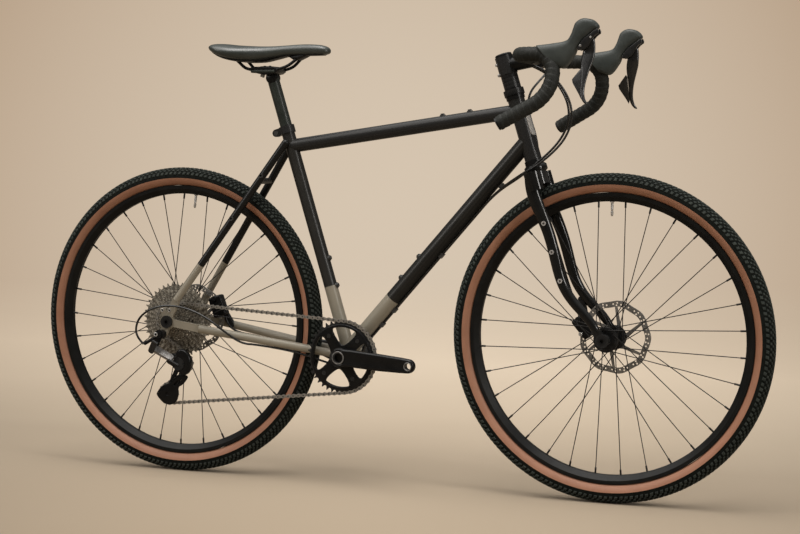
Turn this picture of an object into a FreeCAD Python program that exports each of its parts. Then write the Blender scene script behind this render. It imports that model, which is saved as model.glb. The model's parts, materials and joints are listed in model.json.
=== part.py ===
import FreeCAD, Part
import math
import os

# A drop-bar gravel bike. Millimetres, +X forward, +Y to the bike's left, +Z up,
# origin on the ground halfway between the axles.

# Overall layout
wheel_base = 1029.4
tyre_radius = 355.0
bracket_drop = 64.0
chainstay_length = 429.5
seat_angle = 72.6
head_angle = 72.45
fork_rake = 53.9

# Fits and clearances shared by many pieces
running_fit = 0.05
side_gap = 0.4
touch_gap = 0.3
cut_overrun = 4.0
point_tolerance = 0.001
unit_radius = 1.0

# Main tubes, heights measured along the seat tube and along the steering axis
seat_tube_diameter = 29.8
seat_tube_length = 540.0
top_tube_diameter = 31.0
top_tube_seat_height = 492.8
top_tube_head_height = 526.7
down_tube_diameter = 34.9
down_tube_head_height = 459.6
down_tube_offset = 9.0
head_tube_diameter = 37.0
head_tube_length = 138.0
tube_wall = 1.4

# Bottom bracket
bracket_shell_diameter = 41.0
bracket_shell_width = 68.0
bracket_cup_diameter = 44.0
bracket_cup_width = 9.5
spindle_diameter = 24.0

# Rear triangle
rear_spacing = 142.0
dropout_thickness = 8.0
dropout_radius = 18.0
dropout_arm_width = 17.0
chainstay_diameter = 18.5
chainstay_bracket_half = 24.0
chainstay_bend_half = 37.0
chainstay_bend_run = 115.0
chainstay_foot_forward = 81.0
chainstay_foot_drop = 13.0
chainstay_bend_radius = 260.0
seatstay_diameter = 17.0
seatstay_top_height = 500.0
seatstay_top_half = 17.5
seatstay_top_setback = 6.0
seatstay_foot_forward = 22.0
seatstay_foot_rise = 50.0
stay_bridge_diameter = 14.0
stay_bridge_distance = 106.0
hanger_back = 12.0
hanger_drop = 29.0
hanger_radius = 10.0
rack_eyelet_radius = 6.0
rack_eyelet_rise = 26.5
rack_eyelet_spacing = 19.0
rack_eyelet_back = 3.0

# Bosses, screws and guides on the frame
thread_diameter = 5.0
boss_spacing = 64.0
boss_radius = 6.5
boss_height = 2.0
screw_head_radius = 4.4
screw_head_height = 2.8
seat_tube_boss_height = 160.0
down_tube_boss_distance = 216.0
top_tube_boss_distance = 371.0
stay_eyelet_distances = (91.0, 211.0)
stay_eyelet_radius = 5.0
stay_eyelet_height = 3.0
guide_distances = (100.0, 145.0, 312.0, 520.0)
guide_length = 12.0
guide_wall = 1.6

# Head badge
badge_height = 50.0
badge_width = 24.0
badge_thickness = 1.0
badge_corner_radius = 8.0
badge_centre_height = 492.0

# Headset
crown_top = 388.0
lower_cup_height = 27.0
upper_cup_height = 22.0
cup_diameter = 45.0
cup_waist_diameter = 41.0
cup_rim_share = 0.6
steerer_diameter = 28.6
steerer_wall = 2.3
spacer_height = 8.5
spacer_count = 4
spacer_diameter = 37.0
spacer_groove = 0.6
top_cap_height = 6.0

# Stem
stem_length = 79.0
stem_rise_angle = 11.0
stem_clamp_height = 40.0
stem_clamp_diameter = 40.0
stem_body_diameter = 31.0
bar_clamp_diameter = 31.8
bar_clamp_width = 42.0
bar_clamp_wall = 5.0
faceplate_gap = 2.0
stem_bolt_radius = 2.5
stem_bolt_head_radius = 4.2
stem_bolt_head_height = 4.0
stem_bolt_spread = 30.0
stem_bolt_rise = 18.6

# Handlebar and tape
bar_diameter = 24.0
bar_wall = 2.2
bar_half_width = 178.0
bar_reach = 85.0
bar_drop_run = 89.0
bar_tail_run = 121.0
bar_tail_slope = 30.0
bar_flare = 16.5
bar_corner_radius = 38.0
bar_front_radius = 42.0
bar_drop_radius = 74.0
bar_bulge_half = 34.0
bar_taper_run = 22.0
tape_thickness = 3.8
tape_start = 62.0
plug_depth = 14.0
plug_head = 4.0

# Lever hoods and brackets, side outline seen from the right
hood_length = 110.0
hood_rise = 100.0
hood_width = 35.0
hood_back = 46.0
hood_drop = 22.0
bracket_half_width = 11.0
bracket_slot_half = 5.3
lever_pivot_forward = 166.0
lever_pivot_rise = 26.0
lever_pin_radius = 2.5

# Brake levers and shift paddles
lever_length = 128.0
lever_width = 18.0
lever_thickness = 18.0
lever_tongue_radius = 9.0
lever_flare = 13.0
lever_travel = 18.0
paddle_height = 46.0
paddle_depth = 20.0
paddle_thickness = 3.0
paddle_drop = 54.0
paddle_hub_radius = 3.5
paddle_back = 23.5
paddle_corner_share = 0.52

# Fork
crown_height = 28.0
crown_radius = 20.0
crown_socket_wall = 2.6
crown_socket_length = 40.0
crown_bridge_depth = 26.0
blade_top_half = 43.0
blade_foot_half = 57.0
blade_top_width = 30.0
blade_foot_width = 19.0
blade_top_depth = 23.0
blade_foot_depth = 16.0
blade_bend_radius = 150.0
blade_bend_angle = 22.5
front_spacing = 100.0
fork_tip_thickness = 14.0
fork_tip_radius = 14.0
fork_tip_length = 24.0
fork_tip_bar_width = 17.0
fork_boss_top_height = 275.0
fork_boss_radius = 5.0
fork_boss_height = 2.0
fork_boss_depth = 8.0

# Axles
axle_diameter = 12.0
axle_cap_radius = 14.5
axle_cap_thickness = 5.0
axle_key_radius = 4.0

# Tyres and rims
tyre_section = 44.2
tyre_wall = 2.0
tread_depth = 1.4
rim_edge_radius = 313.2
rim_inner_radius = 294.0
rim_width = 28.0
rim_lip = 2.2
rim_wall = 1.8
rim_bed_depth = 7.5
rim_floor_width = 10.0
rim_shoulder_depth = 8.0
bead_fit = 0.2

# Spokes
spoke_count = 32
spoke_crosses = 3
spoke_radius = 1.0
nipple_radius = 2.1
nipple_length = 12.0
flange_radius = 27.0
flange_hole_radius = 22.0
flange_thickness = 3.2
spoke_hole_fit = 0.3
spoke_head_radius = 1.9
spoke_rim_offset = 2.5
front_valve_angle = 90.0
rear_valve_angle = 83.5

# Hubs
front_flange_right = 35.0
front_flange_left = 23.0
rear_flange_right = 19.0
rear_flange_left = 34.0
hub_shell_radius = 15.0
hub_end_radius = 9.5
rotor_mount_radius = 16.5

# Rotors and calipers
rotor_radius = 80.0
rotor_track = 15.0
rotor_thickness = 1.8
rotor_centre_radius = 24.0
rotor_arm_count = 6
rotor_arm_width = 7.0
rotor_arm_lean = 32.0
rotor_hole_radius = 2.4
rotor_hole_count = 24
rotor_hole_step = 6.0
lockring_radius = 20.5
lockring_thickness = 3.0
front_rotor_offset = 10.4
rear_rotor_offset = 15.4
caliper_length = 50.0
caliper_depth = 34.0
caliper_half_width = 12.0
caliper_edge_radius = 5.0
caliper_slot_side = 0.8
caliper_slot_tip = 1.6
caliper_reach = 71.0
front_caliper_angle = 163.0
rear_caliper_angle = 24.0
rear_caliper_lean = 110.0
rear_caliper_foot_share = 0.04
banjo_radius = 5.5
banjo_length = 4.0
caliper_foot_width = 12.0
caliper_foot_height = 14.0

# Chain and sprockets
chain_pitch = 12.7
roller_radius = 3.85
roller_fit = 0.15
chain_plate_height = 8.6
chain_plate_thickness = 0.8
chain_inner_width = 2.2
chain_pin_radius = 1.8
chain_pin_fit = 0.1
chain_plate_gap = 0.05
chain_pin_stub = 0.1
tooth_rise = 3.2
tooth_tip_half = 0.7
tooth_seat_angle = 68.0
chainline = 46.5
chainring_teeth = 40
chainring_thickness = 1.9
chainring_inner_radius = 67.0
chainring_bolt_circle = 110.0
chainring_tab_radius = 11.5
chainring_bolt_radius = 5.0
chainring_bolt_head = 1.5
cassette_teeth = (11, 13, 15, 17, 19, 21, 24, 28, 32, 37, 42)
driven_cog = 5
cog_pitch = 3.74
cog_thickness = 1.6
cog_window_count = 9
cog_window_gap = 4.0
freehub_radius = 17.0
cassette_spacer_wall = 3.5
cassette_lockring_radius = 18.5
cassette_lockring_thickness = 2.0

# Cranks
crank_length = 170.0
crank_angle = -3.6
crank_boss_radius = 21.0
crank_root_width = 32.0
crank_tip_width = 25.0
crank_root_thickness = 15.0
crank_tip_thickness = 13.0
crank_root_half = 61.0
crank_tip_half = 69.0
crank_chamfer = 3.0
pedal_thread_radius = 7.14
spider_angles = (47.0, 126.0, 226.0, 305.0)
spider_arm_width = 15.0
spider_arm_thickness = 5.0
spindle_cap_radius = 13.0
spindle_cap_thickness = 2.0
spindle_cap_recess = 8.0

# Rear derailleur
guide_forward = 25.0
guide_drop = 97.0
pulley_teeth = 11
pulley_thickness = 2.2
pulley_body_thickness = 4.6
pulley_rim_depth = 6.5
pulley_bolt_radius = 2.6
cage_length = 82.0
cage_lean = 26.0
cage_lean_search = 30.0
cage_plate_thickness = 1.6
cage_plate_half_width = 10.5
cage_plate_space = 8.0
cage_window_shares = (0.32, 0.68)
cage_bolt_head_radius = 4.5
cage_bolt_head_height = 1.6
knuckle_radius = 15.0
knuckle_length = 20.0
knuckle_lug_radius = 7.0
link_width = 16.0
link_thickness = 8.0
link_length = 50.0
link_pin_radius = 2.4
link_lug_gap = 0.4
link_direction_shares = (0.85, 0.20, -0.48)
shift_direction_shares = (-0.54, 0.62, -0.70)
base_radius = 11.0
base_length = 17.0
base_bolt_head_radius = 7.0
base_bolt_head_height = 3.0
housing_stop_reach = 48.0
housing_stop_angle = 209.0
housing_stop_radius = 4.0

# Seatpost and saddle
post_diameter = 27.2
post_wall = 2.4
post_insert = 150.0
post_head_height = 664.0
post_head_share = 0.9
clamp_setback = 11.0
clamp_rise = 9.0
clamp_length = 60.0
clamp_width = 54.0
clamp_plate_height = 7.0
clamp_bolt_radius = 3.0
clamp_bolt_spacing = 13.0
clamp_bolt_head = 3.0
collar_diameter = 36.0
collar_height = 17.0
collar_ear_reach = 27.0
collar_ear_width = 13.0
collar_barrel_radius = 5.5
collar_slot = 1.6
rail_diameter = 7.0
rail_half_spacing = 22.0
saddle_length = 288.0
saddle_width = 142.0
saddle_height = 44.0
saddle_rear_setback = 132.0
saddle_top_above_rails = 58.0
saddle_shell_thickness = 3.0
saddle_shell_share = 0.86
saddle_shoulder_share = 0.72
saddle_side_bow_share = 0.985
saddle_top_bow_share = 0.915
saddle_shoulder_height_share = 0.89
saddle_top_bow_height_share = 0.77

# Hoses
hose_diameter = 5.0
bend_share = 0.45
hose_shell_gap = 5.0
hose_down_distances = (505.0, 40.0)
shell_wrap_turns = ((-20.0, 5.0), (-80.0, 9.0))
rear_hose_stay_share = 0.76
shift_stay_share = 0.60

# Directions and sides
Vector = FreeCAD.Vector
origin = Vector(0, 0, 0)
forward = Vector(1, 0, 0)
left = Vector(0, 1, 0)
up = Vector(0, 0, 1)
right_side = -1
left_side = 1


def radians(angle):
    return math.radians(angle)


def polar(angle):
    """Unit direction in the bike's side plane, counted from forward towards up."""
    return Vector(math.cos(radians(angle)), 0, math.sin(radians(angle)))


def between(start, end, share):
    return start + (end - start) * share


def sideways(point, y):
    """The same place in side view, moved to another lateral position."""
    return Vector(point.x, y, point.z)


def rod(start, end, radius):
    span = end - start
    return Part.makeCylinder(radius, span.Length, start, span)


def pipe(start, end, outer_radius, inner_radius):
    return rod(start, end, outer_radius).cut(rod(start, end, inner_radius))


def stretched(start, end, radius):
    """A cutter along a rod that stands out past both ends."""
    reach = (end - start).normalize() * cut_overrun
    return rod(start - reach, end + reach, radius)


def ring(centre, y_low, y_high, outer_radius, inner_radius):
    return pipe(sideways(centre, y_low), sideways(centre, y_high), outer_radius, inner_radius)


def disc(centre, y_low, y_high, radius):
    return rod(sideways(centre, y_low), sideways(centre, y_high), radius)


def turned(centre, outline):
    """Turns a closed outline of (lateral place, radius) about a cross axle."""
    corners = [Vector(centre.x + radius, place, centre.z) for place, radius in outline]
    face = Part.Face(Part.makePolygon(corners + corners[:1]))
    return face.revolve(centre, left, 360)


def flat_bar(start, end, half_width, y_low, y_high):
    """A flat bar with round ends, lying in the side plane."""
    along = (end - start).normalize()
    across = along.cross(left) * half_width
    corners = [start + across, end + across, end - across, start - across]
    corners = [sideways(corner, y_low) for corner in corners]
    bar = Part.Face(Part.makePolygon(corners + corners[:1])).extrude(left * (y_high - y_low))
    ends = [disc(point, y_low, y_high, half_width) for point in (start, end)]
    return bar.fuse(ends).removeSplitter()


def oval(centre, across, along, half_across, half_along):
    """A closed oval wire: a unit circle stretched along two directions."""
    facing = across.cross(along)
    matrix = FreeCAD.Matrix(
        across.x * half_across, along.x * half_along, facing.x, centre.x,
        across.y * half_across, along.y * half_along, facing.y, centre.y,
        across.z * half_across, along.z * half_along, facing.z, centre.z, 0, 0, 0, 1)
    return Part.Wire(Part.Wire(Part.makeCircle(unit_radius)).transformGeometry(matrix).Edges)


def largest(shape):
    return max(shape.Solids, key=lambda solid: solid.Volume)


def mirrored(shape):
    return shape.mirror(origin, left)


def both_sides(shape):
    return [shape, mirrored(shape)]


def group(shapes):
    solids = []
    for shape in shapes:
        solids.extend(shape.Solids)
    return Part.makeCompound(solids)


def bent_path(points, radii=None):
    """Straight runs joined by tangent arcs; without radii each arc is as large as its runs allow."""
    edges = []
    sizes = []
    start = points[0]
    for index in range(1, len(points) - 1):
        corner = points[index]
        run_in = corner - points[index - 1]
        run_out = points[index + 1] - corner
        half_turn = run_in.getAngle(run_out) / 2
        reach = bend_share * min(run_in.Length, run_out.Length)
        if radii:
            reach = radii[index - 1] * math.tan(half_turn)
        radius = reach / math.tan(half_turn)
        heading_in = Vector(run_in).normalize()
        heading_out = Vector(run_out).normalize()
        first = corner - heading_in * reach
        last = corner + heading_out * reach
        inward = (heading_out - heading_in).normalize()
        middle = corner + inward * (radius / math.cos(half_turn) - radius)
        edges.append(Part.LineSegment(start, first).toShape())
        edges.append(Part.Arc(first, middle, last).toShape())
        sizes.append(radius)
        start = last
    edges.append(Part.LineSegment(start, points[-1]).toShape())
    return Part.Wire(edges), sizes


def swept(path, radius):
    first = path.Edges[0]
    start = first.valueAt(first.FirstParameter)
    heading = first.tangentAt(first.FirstParameter)
    profile = Part.Wire(Part.makeCircle(radius, start, heading))
    return path.makePipeShell([profile], True, False)


parts = {}

# Reference points and axes
rear_axle = Vector(-wheel_base / 2, 0, tyre_radius)
front_axle = Vector(wheel_base / 2, 0, tyre_radius)
bracket_run = math.sqrt(chainstay_length ** 2 - bracket_drop ** 2)
bracket = rear_axle + forward * bracket_run - up * bracket_drop
seat_up = polar(180 - seat_angle)
head_up = polar(180 - head_angle)
head_forward = polar(90 - head_angle)
steer_foot = front_axle - head_forward * fork_rake


def on_seat(height):
    return bracket + seat_up * height


def on_head(height):
    return steer_foot + head_up * height


# Heights up the steering axis
lower_cup_base = crown_top + side_gap
head_low = lower_cup_base + lower_cup_height
head_high = head_low + head_tube_length
upper_cup_top = head_high + upper_cup_height
spacer_base = upper_cup_top + side_gap
stem_base = spacer_base + spacer_height * spacer_count
stem_top = stem_base + stem_clamp_height

# Frame tubes, each mitred on its neighbours
head_solid = rod(on_head(head_low), on_head(head_high), head_tube_diameter / 2)
head_bore = stretched(on_head(head_low), on_head(head_high), head_tube_diameter / 2 - tube_wall)
parts["head_tube"] = head_solid.cut(head_bore)

shell_half = bracket_shell_width / 2
shell_solid = disc(bracket, -shell_half, shell_half, bracket_shell_diameter / 2)
shell_bore_radius = bracket_shell_diameter / 2 - 2 * tube_wall
parts["bb_shell"] = shell_solid.cut(disc(bracket, -shell_half, shell_half, shell_bore_radius))

post_bore_radius = post_diameter / 2 + running_fit
seat_solid = rod(bracket, on_seat(seat_tube_length), seat_tube_diameter / 2)
seat_tube = seat_solid.cut(stretched(bracket, on_seat(seat_tube_length), post_bore_radius))
parts["seat_tube"] = largest(seat_tube.cut(shell_solid))

top_tube_back = on_seat(top_tube_seat_height)
top_tube_front = on_head(top_tube_head_height)
top_solid = rod(top_tube_back, top_tube_front, top_tube_diameter / 2)
top_tube = top_solid.cut(rod(top_tube_back, top_tube_front, top_tube_diameter / 2 - tube_wall))
parts["top_tube"] = largest(top_tube.cut(seat_solid).cut(head_solid))

down_front = on_head(down_tube_head_height)
down_span = down_front - bracket
down_across = sideways(left.cross(down_span).normalize(), 0)
if down_across.z < 0:
    down_across = down_across * -1
down_back = bracket + down_across * down_tube_offset
down_along = (down_front - down_back).normalize()
down_up = sideways(down_along.cross(left), 0)
if down_up.z < 0:
    down_up = down_up * -1
down_solid = rod(down_back, down_front, down_tube_diameter / 2)
down_tube = down_solid.cut(rod(down_back, down_front, down_tube_diameter / 2 - tube_wall))
parts["down_tube"] = largest(down_tube.cut(shell_solid).cut(seat_solid).cut(head_solid))

# Dropouts with their axle holes, rack eyelets and the hanger
dropout_inner = rear_spacing / 2
dropout_outer = dropout_inner + dropout_thickness
dropout_middle = (dropout_inner + dropout_outer) / 2
chainstay_foot = rear_axle + forward * chainstay_foot_forward - up * chainstay_foot_drop
seatstay_foot = rear_axle + forward * seatstay_foot_forward + up * seatstay_foot_rise
hanger = rear_axle - forward * hanger_back - up * hanger_drop
axle_hole_radius = axle_diameter / 2 + running_fit
eyelet_middle = rear_axle - forward * rack_eyelet_back + up * rack_eyelet_rise
half_eyelets = forward * rack_eyelet_spacing / 2
rack_eyelets = [eyelet_middle - half_eyelets, eyelet_middle + half_eyelets]


def dropout(y_low, y_high, with_hanger):
    plate = disc(rear_axle, y_low, y_high, dropout_radius)
    feet = (chainstay_foot, seatstay_foot)
    arms = [flat_bar(rear_axle, foot, dropout_arm_width / 2, y_low, y_high) for foot in feet]
    arms += [flat_bar(rear_axle, eyelet, rack_eyelet_radius, y_low, y_high) for eyelet in rack_eyelets]
    if with_hanger:
        arms.append(flat_bar(rear_axle, hanger, hanger_radius, y_low, y_high))
    plate = plate.fuse(arms).removeSplitter()
    holes = [disc(rear_axle, y_low, y_high, axle_hole_radius)]
    holes += [disc(eyelet, y_low, y_high, thread_diameter / 2) for eyelet in rack_eyelets]
    if with_hanger:
        holes.append(disc(hanger, y_low, y_high, thread_diameter))
    for hole in holes:
        plate = plate.cut(hole)
    return plate


dropout_right = dropout(-dropout_outer, -dropout_inner, True)
dropout_left = dropout(dropout_inner, dropout_outer, False)
parts["dropouts"] = group([dropout_right, dropout_left])

# Stays
stay_share = chainstay_bend_run / (bracket.x - chainstay_foot.x)
chainstay_points = [
    sideways(bracket, -chainstay_bracket_half),
    sideways(between(bracket, chainstay_foot, stay_share), -chainstay_bend_half),
    sideways(chainstay_foot, -dropout_middle)]
chainstay_path = bent_path(chainstay_points, [chainstay_bend_radius])[0]
chainstay_solid = swept(chainstay_path, chainstay_diameter / 2)
cup_outer = shell_half + bracket_cup_width
cup_zone = disc(bracket, -cup_outer, -shell_half, bracket_cup_diameter / 2 + touch_gap)
bracket_zone = [shell_solid] + both_sides(cup_zone)
chainstay_right = largest(chainstay_solid.cut(bracket_zone).cut(dropout_right))
chainstay_left = largest(mirrored(chainstay_solid).cut(bracket_zone).cut(dropout_left))
parts["chainstays"] = group([chainstay_right, chainstay_left])

seatstay_top = sideways(on_seat(seatstay_top_height) - forward * seatstay_top_setback, -seatstay_top_half)
seatstay_end = sideways(seatstay_foot, -dropout_middle)
seatstay_along = (seatstay_end - seatstay_top).normalize()
seatstay_solid = rod(seatstay_top, seatstay_end, seatstay_diameter / 2)
seatstay_solid = seatstay_solid.fuse(Part.makeSphere(seatstay_diameter / 2, seatstay_top)).removeSplitter()
neighbours = [seat_solid, top_solid]
seatstay_right = largest(seatstay_solid.cut(neighbours).cut(dropout_right))
seatstay_left = largest(mirrored(seatstay_solid).cut(neighbours).cut(dropout_left))
bridge_end = seatstay_top + seatstay_along * stay_bridge_distance
bridge = rod(bridge_end, sideways(bridge_end, -bridge_end.y), stay_bridge_diameter / 2)
bridge = largest(bridge.cut([seatstay_solid, mirrored(seatstay_solid)]))
parts["seatstays"] = group([seatstay_right, seatstay_left, bridge])

# Bosses, eyelets, hose guides and their screws
frame_fittings = []
frame_screws = []


def boss(foot, outward, tube_radius, tube):
    """A raised boss on a tube with a button-head screw in it."""
    top = foot + outward * (tube_radius + boss_height)
    frame_fittings.append(largest(rod(foot, top, boss_radius).cut(tube)))
    frame_screws.append(rod(top, top + outward * screw_head_height, screw_head_radius))


seat_front = seat_up.cross(left) * -1
if seat_front.x < 0:
    seat_front = seat_front * -1
for step in range(2):
    place = on_seat(seat_tube_boss_height + boss_spacing * step)
    boss(place, seat_front, seat_tube_diameter / 2, seat_solid)
    place = down_back + down_along * (down_tube_boss_distance + boss_spacing * step)
    boss(place, down_up, down_tube_diameter / 2, down_solid)
    top_along = (top_tube_front - top_tube_back).normalize()
    place = top_tube_back + top_along * (top_tube_boss_distance + boss_spacing * step)
    boss(place, top_along.cross(left), top_tube_diameter / 2, top_solid)

for distance in stay_eyelet_distances:
    foot = seatstay_top + seatstay_along * distance
    tip = foot - left * (seatstay_diameter / 2 + stay_eyelet_height)
    eyelet = rod(foot, tip, stay_eyelet_radius).cut(rod(foot, tip, thread_diameter / 2))
    frame_fittings += [largest(shape) for shape in both_sides(eyelet.cut(seatstay_solid))]

hose_radius = hose_diameter / 2
hose_run_drop = down_tube_diameter / 2 + hose_radius
for distance in guide_distances:
    start = down_back + down_along * distance
    end = start + down_along * guide_length
    cover = Part.makeBox(guide_length, 2 * hose_diameter + 2 * guide_wall, hose_diameter + guide_wall)
    cover.translate(Vector(0, -hose_diameter - guide_wall, 0))
    place = start - down_up * (down_tube_diameter / 2 + hose_diameter + guide_wall)
    turn = FreeCAD.Rotation(down_along, left, down_up, "XZY")
    cover.Placement = FreeCAD.Placement(place, turn).multiply(cover.Placement)
    for side in (right_side, left_side):
        run = start - down_up * hose_run_drop + left * (side * hose_radius)
        cover = cover.cut(stretched(run, run + down_along * guide_length, hose_radius + running_fit))
    frame_fittings.append(largest(cover.cut(down_solid)))
parts["frame_fittings"] = group(frame_fittings)

# Head badge: a bare curved plate with round corners
badge_low = on_head(badge_centre_height - badge_height / 2)
badge_high = on_head(badge_centre_height + badge_height / 2)
badge_bar = rod(badge_low, badge_high, head_tube_diameter / 2 + badge_thickness).cut(head_solid)
badge_axis = on_head(badge_centre_height)
badge_window = Part.makeBox(head_tube_diameter, badge_width, badge_height)
badge_window.translate(Vector(0, -badge_width / 2, -badge_height / 2))
corner_edges = [
    edge for edge in badge_window.Edges if edge.BoundBox.XLength > edge.BoundBox.DiagonalLength / 2]
badge_window = badge_window.makeFillet(badge_corner_radius, corner_edges)
badge_turn = FreeCAD.Rotation(head_forward, left, head_up, "XZY")
badge_window.Placement = FreeCAD.Placement(badge_axis, badge_turn)
parts["head_badge"] = largest(badge_bar.common(badge_window))

# Headset and bottom bracket cups
steerer_hole = steerer_diameter / 2 + running_fit
lower_rim = lower_cup_base + lower_cup_height * cup_rim_share
upper_rim = upper_cup_top - upper_cup_height * cup_rim_share
lower_cup = rod(on_head(lower_cup_base), on_head(lower_rim), cup_diameter / 2)
lower_cup = lower_cup.fuse(rod(on_head(lower_rim), on_head(head_low), cup_waist_diameter / 2))
upper_cup = rod(on_head(upper_rim), on_head(upper_cup_top), cup_diameter / 2)
upper_cup = upper_cup.fuse(rod(on_head(head_high), on_head(upper_rim), cup_waist_diameter / 2))
steer_cutter = stretched(on_head(lower_cup_base), on_head(upper_cup_top), steerer_hole)
cups = [lower_cup.removeSplitter().cut(steer_cutter), upper_cup.removeSplitter().cut(steer_cutter)]
spindle_hole = spindle_diameter / 2 + running_fit
bracket_cup = ring(bracket, -cup_outer, -shell_half, bracket_cup_diameter / 2, spindle_hole)
cups += both_sides(bracket_cup)
parts["bearing_cups"] = group(cups)

# Seat collar with its binder barrel
collar_low = seat_tube_length - collar_height
seat_back = seat_front * -1
collar = rod(on_seat(collar_low), on_seat(seat_tube_length), collar_diameter / 2)
ear_low = on_seat(collar_low)
ear = Part.makeBox(collar_ear_reach, collar_ear_width, collar_height)
ear.translate(Vector(0, -collar_ear_width / 2, 0))
ear_turn = FreeCAD.Rotation(seat_back, left * -1, seat_up, "XZY")
ear.Placement = FreeCAD.Placement(ear_low, ear_turn).multiply(ear.Placement)
barrel_centre = on_seat(seat_tube_length - collar_height / 2) + seat_back * collar_ear_reach
collar_half = collar_ear_width / 2
barrel = disc(barrel_centre, -collar_half, collar_half, collar_height / 2)
slot = Part.makeBox(collar_ear_reach + collar_height, collar_slot, collar_height + 2 * cut_overrun)
slot.translate(Vector(0, -collar_slot / 2, -cut_overrun))
slot.Placement = FreeCAD.Placement(ear_low, ear_turn).multiply(slot.Placement)
collar = collar.fuse([ear, barrel]).removeSplitter().cut(seat_solid).cut(slot)
collar = collar.cut(disc(barrel_centre, -collar_half, collar_half, collar_barrel_radius))
parts["seat_clamp"] = largest(collar)
frame_screws.append(disc(barrel_centre, -collar_half, collar_half, collar_barrel_radius - running_fit))
parts["frame_screws"] = group(frame_screws)

# Axles with round caps and a key socket
axle_radius = axle_diameter / 2


def thru_axle(centre, reach):
    shaft = disc(centre, -reach - axle_cap_thickness, reach, axle_radius)
    cap = disc(centre, -reach - axle_cap_thickness, -reach, axle_cap_radius)
    socket = disc(centre, -reach - axle_cap_thickness, -reach, axle_key_radius)
    return shaft.fuse(cap).removeSplitter().cut(socket)


parts["rear_axle"] = thru_axle(rear_axle, dropout_outer)
fork_tip_outer = front_spacing / 2 + fork_tip_thickness
parts["front_axle"] = thru_axle(front_axle, fork_tip_outer)

# Fork blades: straight along the steering axis, then bent forward to the axle
bend = radians(blade_bend_angle)
foot_run = (fork_rake - blade_bend_radius * (1 - math.cos(bend))) / math.sin(bend)
bend_height = blade_bend_radius * math.sin(bend) + foot_run * math.cos(bend)
blade_end_run = foot_run - fork_tip_length
straight_run = crown_top - bend_height
blade_run = straight_run + blade_bend_radius * bend + blade_end_run


def blade_station(run):
    """Place, heading and forward direction of the blade at a distance below the crown."""
    turn = min(max((run - straight_run) / blade_bend_radius, 0), bend)
    past = max(run - straight_run - blade_bend_radius * bend, 0)
    heading = head_up * -math.cos(turn) + head_forward * math.sin(turn)
    ahead = head_up * math.sin(turn) + head_forward * math.cos(turn)
    place = on_head(crown_top - min(run, straight_run))
    place = place - head_up * (blade_bend_radius * math.sin(turn))
    place = place + head_forward * (blade_bend_radius * (1 - math.cos(turn))) + heading * past
    share = run / blade_run
    half = blade_top_half + (blade_foot_half - blade_top_half) * share
    width = blade_top_width + (blade_foot_width - blade_top_width) * share
    depth = blade_top_depth + (blade_foot_depth - blade_top_depth) * share
    return sideways(place, -half), heading, ahead, width / 2, depth / 2


blade_rows = [0, straight_run / 2, straight_run]
blade_rows += [straight_run + blade_bend_radius * bend * step / 3 for step in (1, 2, 3)]
blade_rows.append(blade_run)
blade_wires = []
for run in blade_rows:
    place, heading, ahead, half_width, half_depth = blade_station(run)
    blade_wires.append(oval(place, ahead, left, half_width, half_depth))
blade_solid = Part.makeLoft(blade_wires, True, False)
fork_bosses = []
blade_right = blade_solid
for step in range(3):
    run = crown_top - fork_boss_top_height + boss_spacing * step
    place, heading, ahead, half_width, half_depth = blade_station(run)
    tip = place - left * (half_depth + fork_boss_height)
    root = tip + left * (fork_boss_height + fork_boss_depth)
    barrel = rod(tip, root, fork_boss_radius)
    blade_right = blade_right.cut(barrel)
    floor = tip + left * fork_boss_depth
    fork_bosses += both_sides(barrel.cut(rod(tip, floor, thread_diameter / 2)))
parts["fork_bosses"] = group(fork_bosses)

# Fork tips
tip_inner = front_spacing / 2
blade_end = blade_station(blade_run)[0]
fork_tip = disc(front_axle, -fork_tip_outer, -tip_inner, fork_tip_radius)
tip_bar = flat_bar(front_axle, sideways(blade_end, 0), fork_tip_bar_width / 2, -fork_tip_outer, -tip_inner)
fork_tip = fork_tip.fuse(tip_bar).removeSplitter()
fork_tip = fork_tip.cut(disc(front_axle, -fork_tip_outer, -tip_inner, axle_hole_radius))
fork_tip = largest(fork_tip.cut(blade_solid))
parts["fork_blades"] = group(both_sides(largest(blade_right)) + both_sides(fork_tip))

# Fork crown and steerer
crown_low = crown_top - crown_height
crown = rod(on_head(crown_low), on_head(crown_top), crown_radius)
socket_wires = []
for run in (0, crown_socket_length):
    place, heading, ahead, half_width, half_depth = blade_station(run)
    half_width = half_width + crown_socket_wall
    half_depth = half_depth + crown_socket_wall
    socket_wires.append(oval(place, ahead, left, half_width, half_depth))
socket = Part.makeLoft(socket_wires, True, True)
crown_bridge = Part.makeBox(crown_bridge_depth, 2 * blade_top_half, crown_height)
crown_bridge.translate(Vector(-crown_bridge_depth / 2, -blade_top_half, 0))
head_turn = FreeCAD.Rotation(head_forward, left, head_up, "XZY")
crown_bridge.Placement = FreeCAD.Placement(on_head(crown_low), head_turn).multiply(crown_bridge.Placement)
crown = crown.fuse([crown_bridge] + both_sides(socket)).removeSplitter()
steerer_radius = steerer_diameter / 2
steerer_solid = rod(on_head(crown_low), on_head(stem_top), steerer_radius)
steerer = pipe(on_head(crown_low), on_head(stem_top), steerer_radius, steerer_radius - steerer_wall)
crown = largest(crown.cut(both_sides(blade_solid)).cut(steerer_solid))
parts["fork_crown"] = group([crown, steerer])

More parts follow.
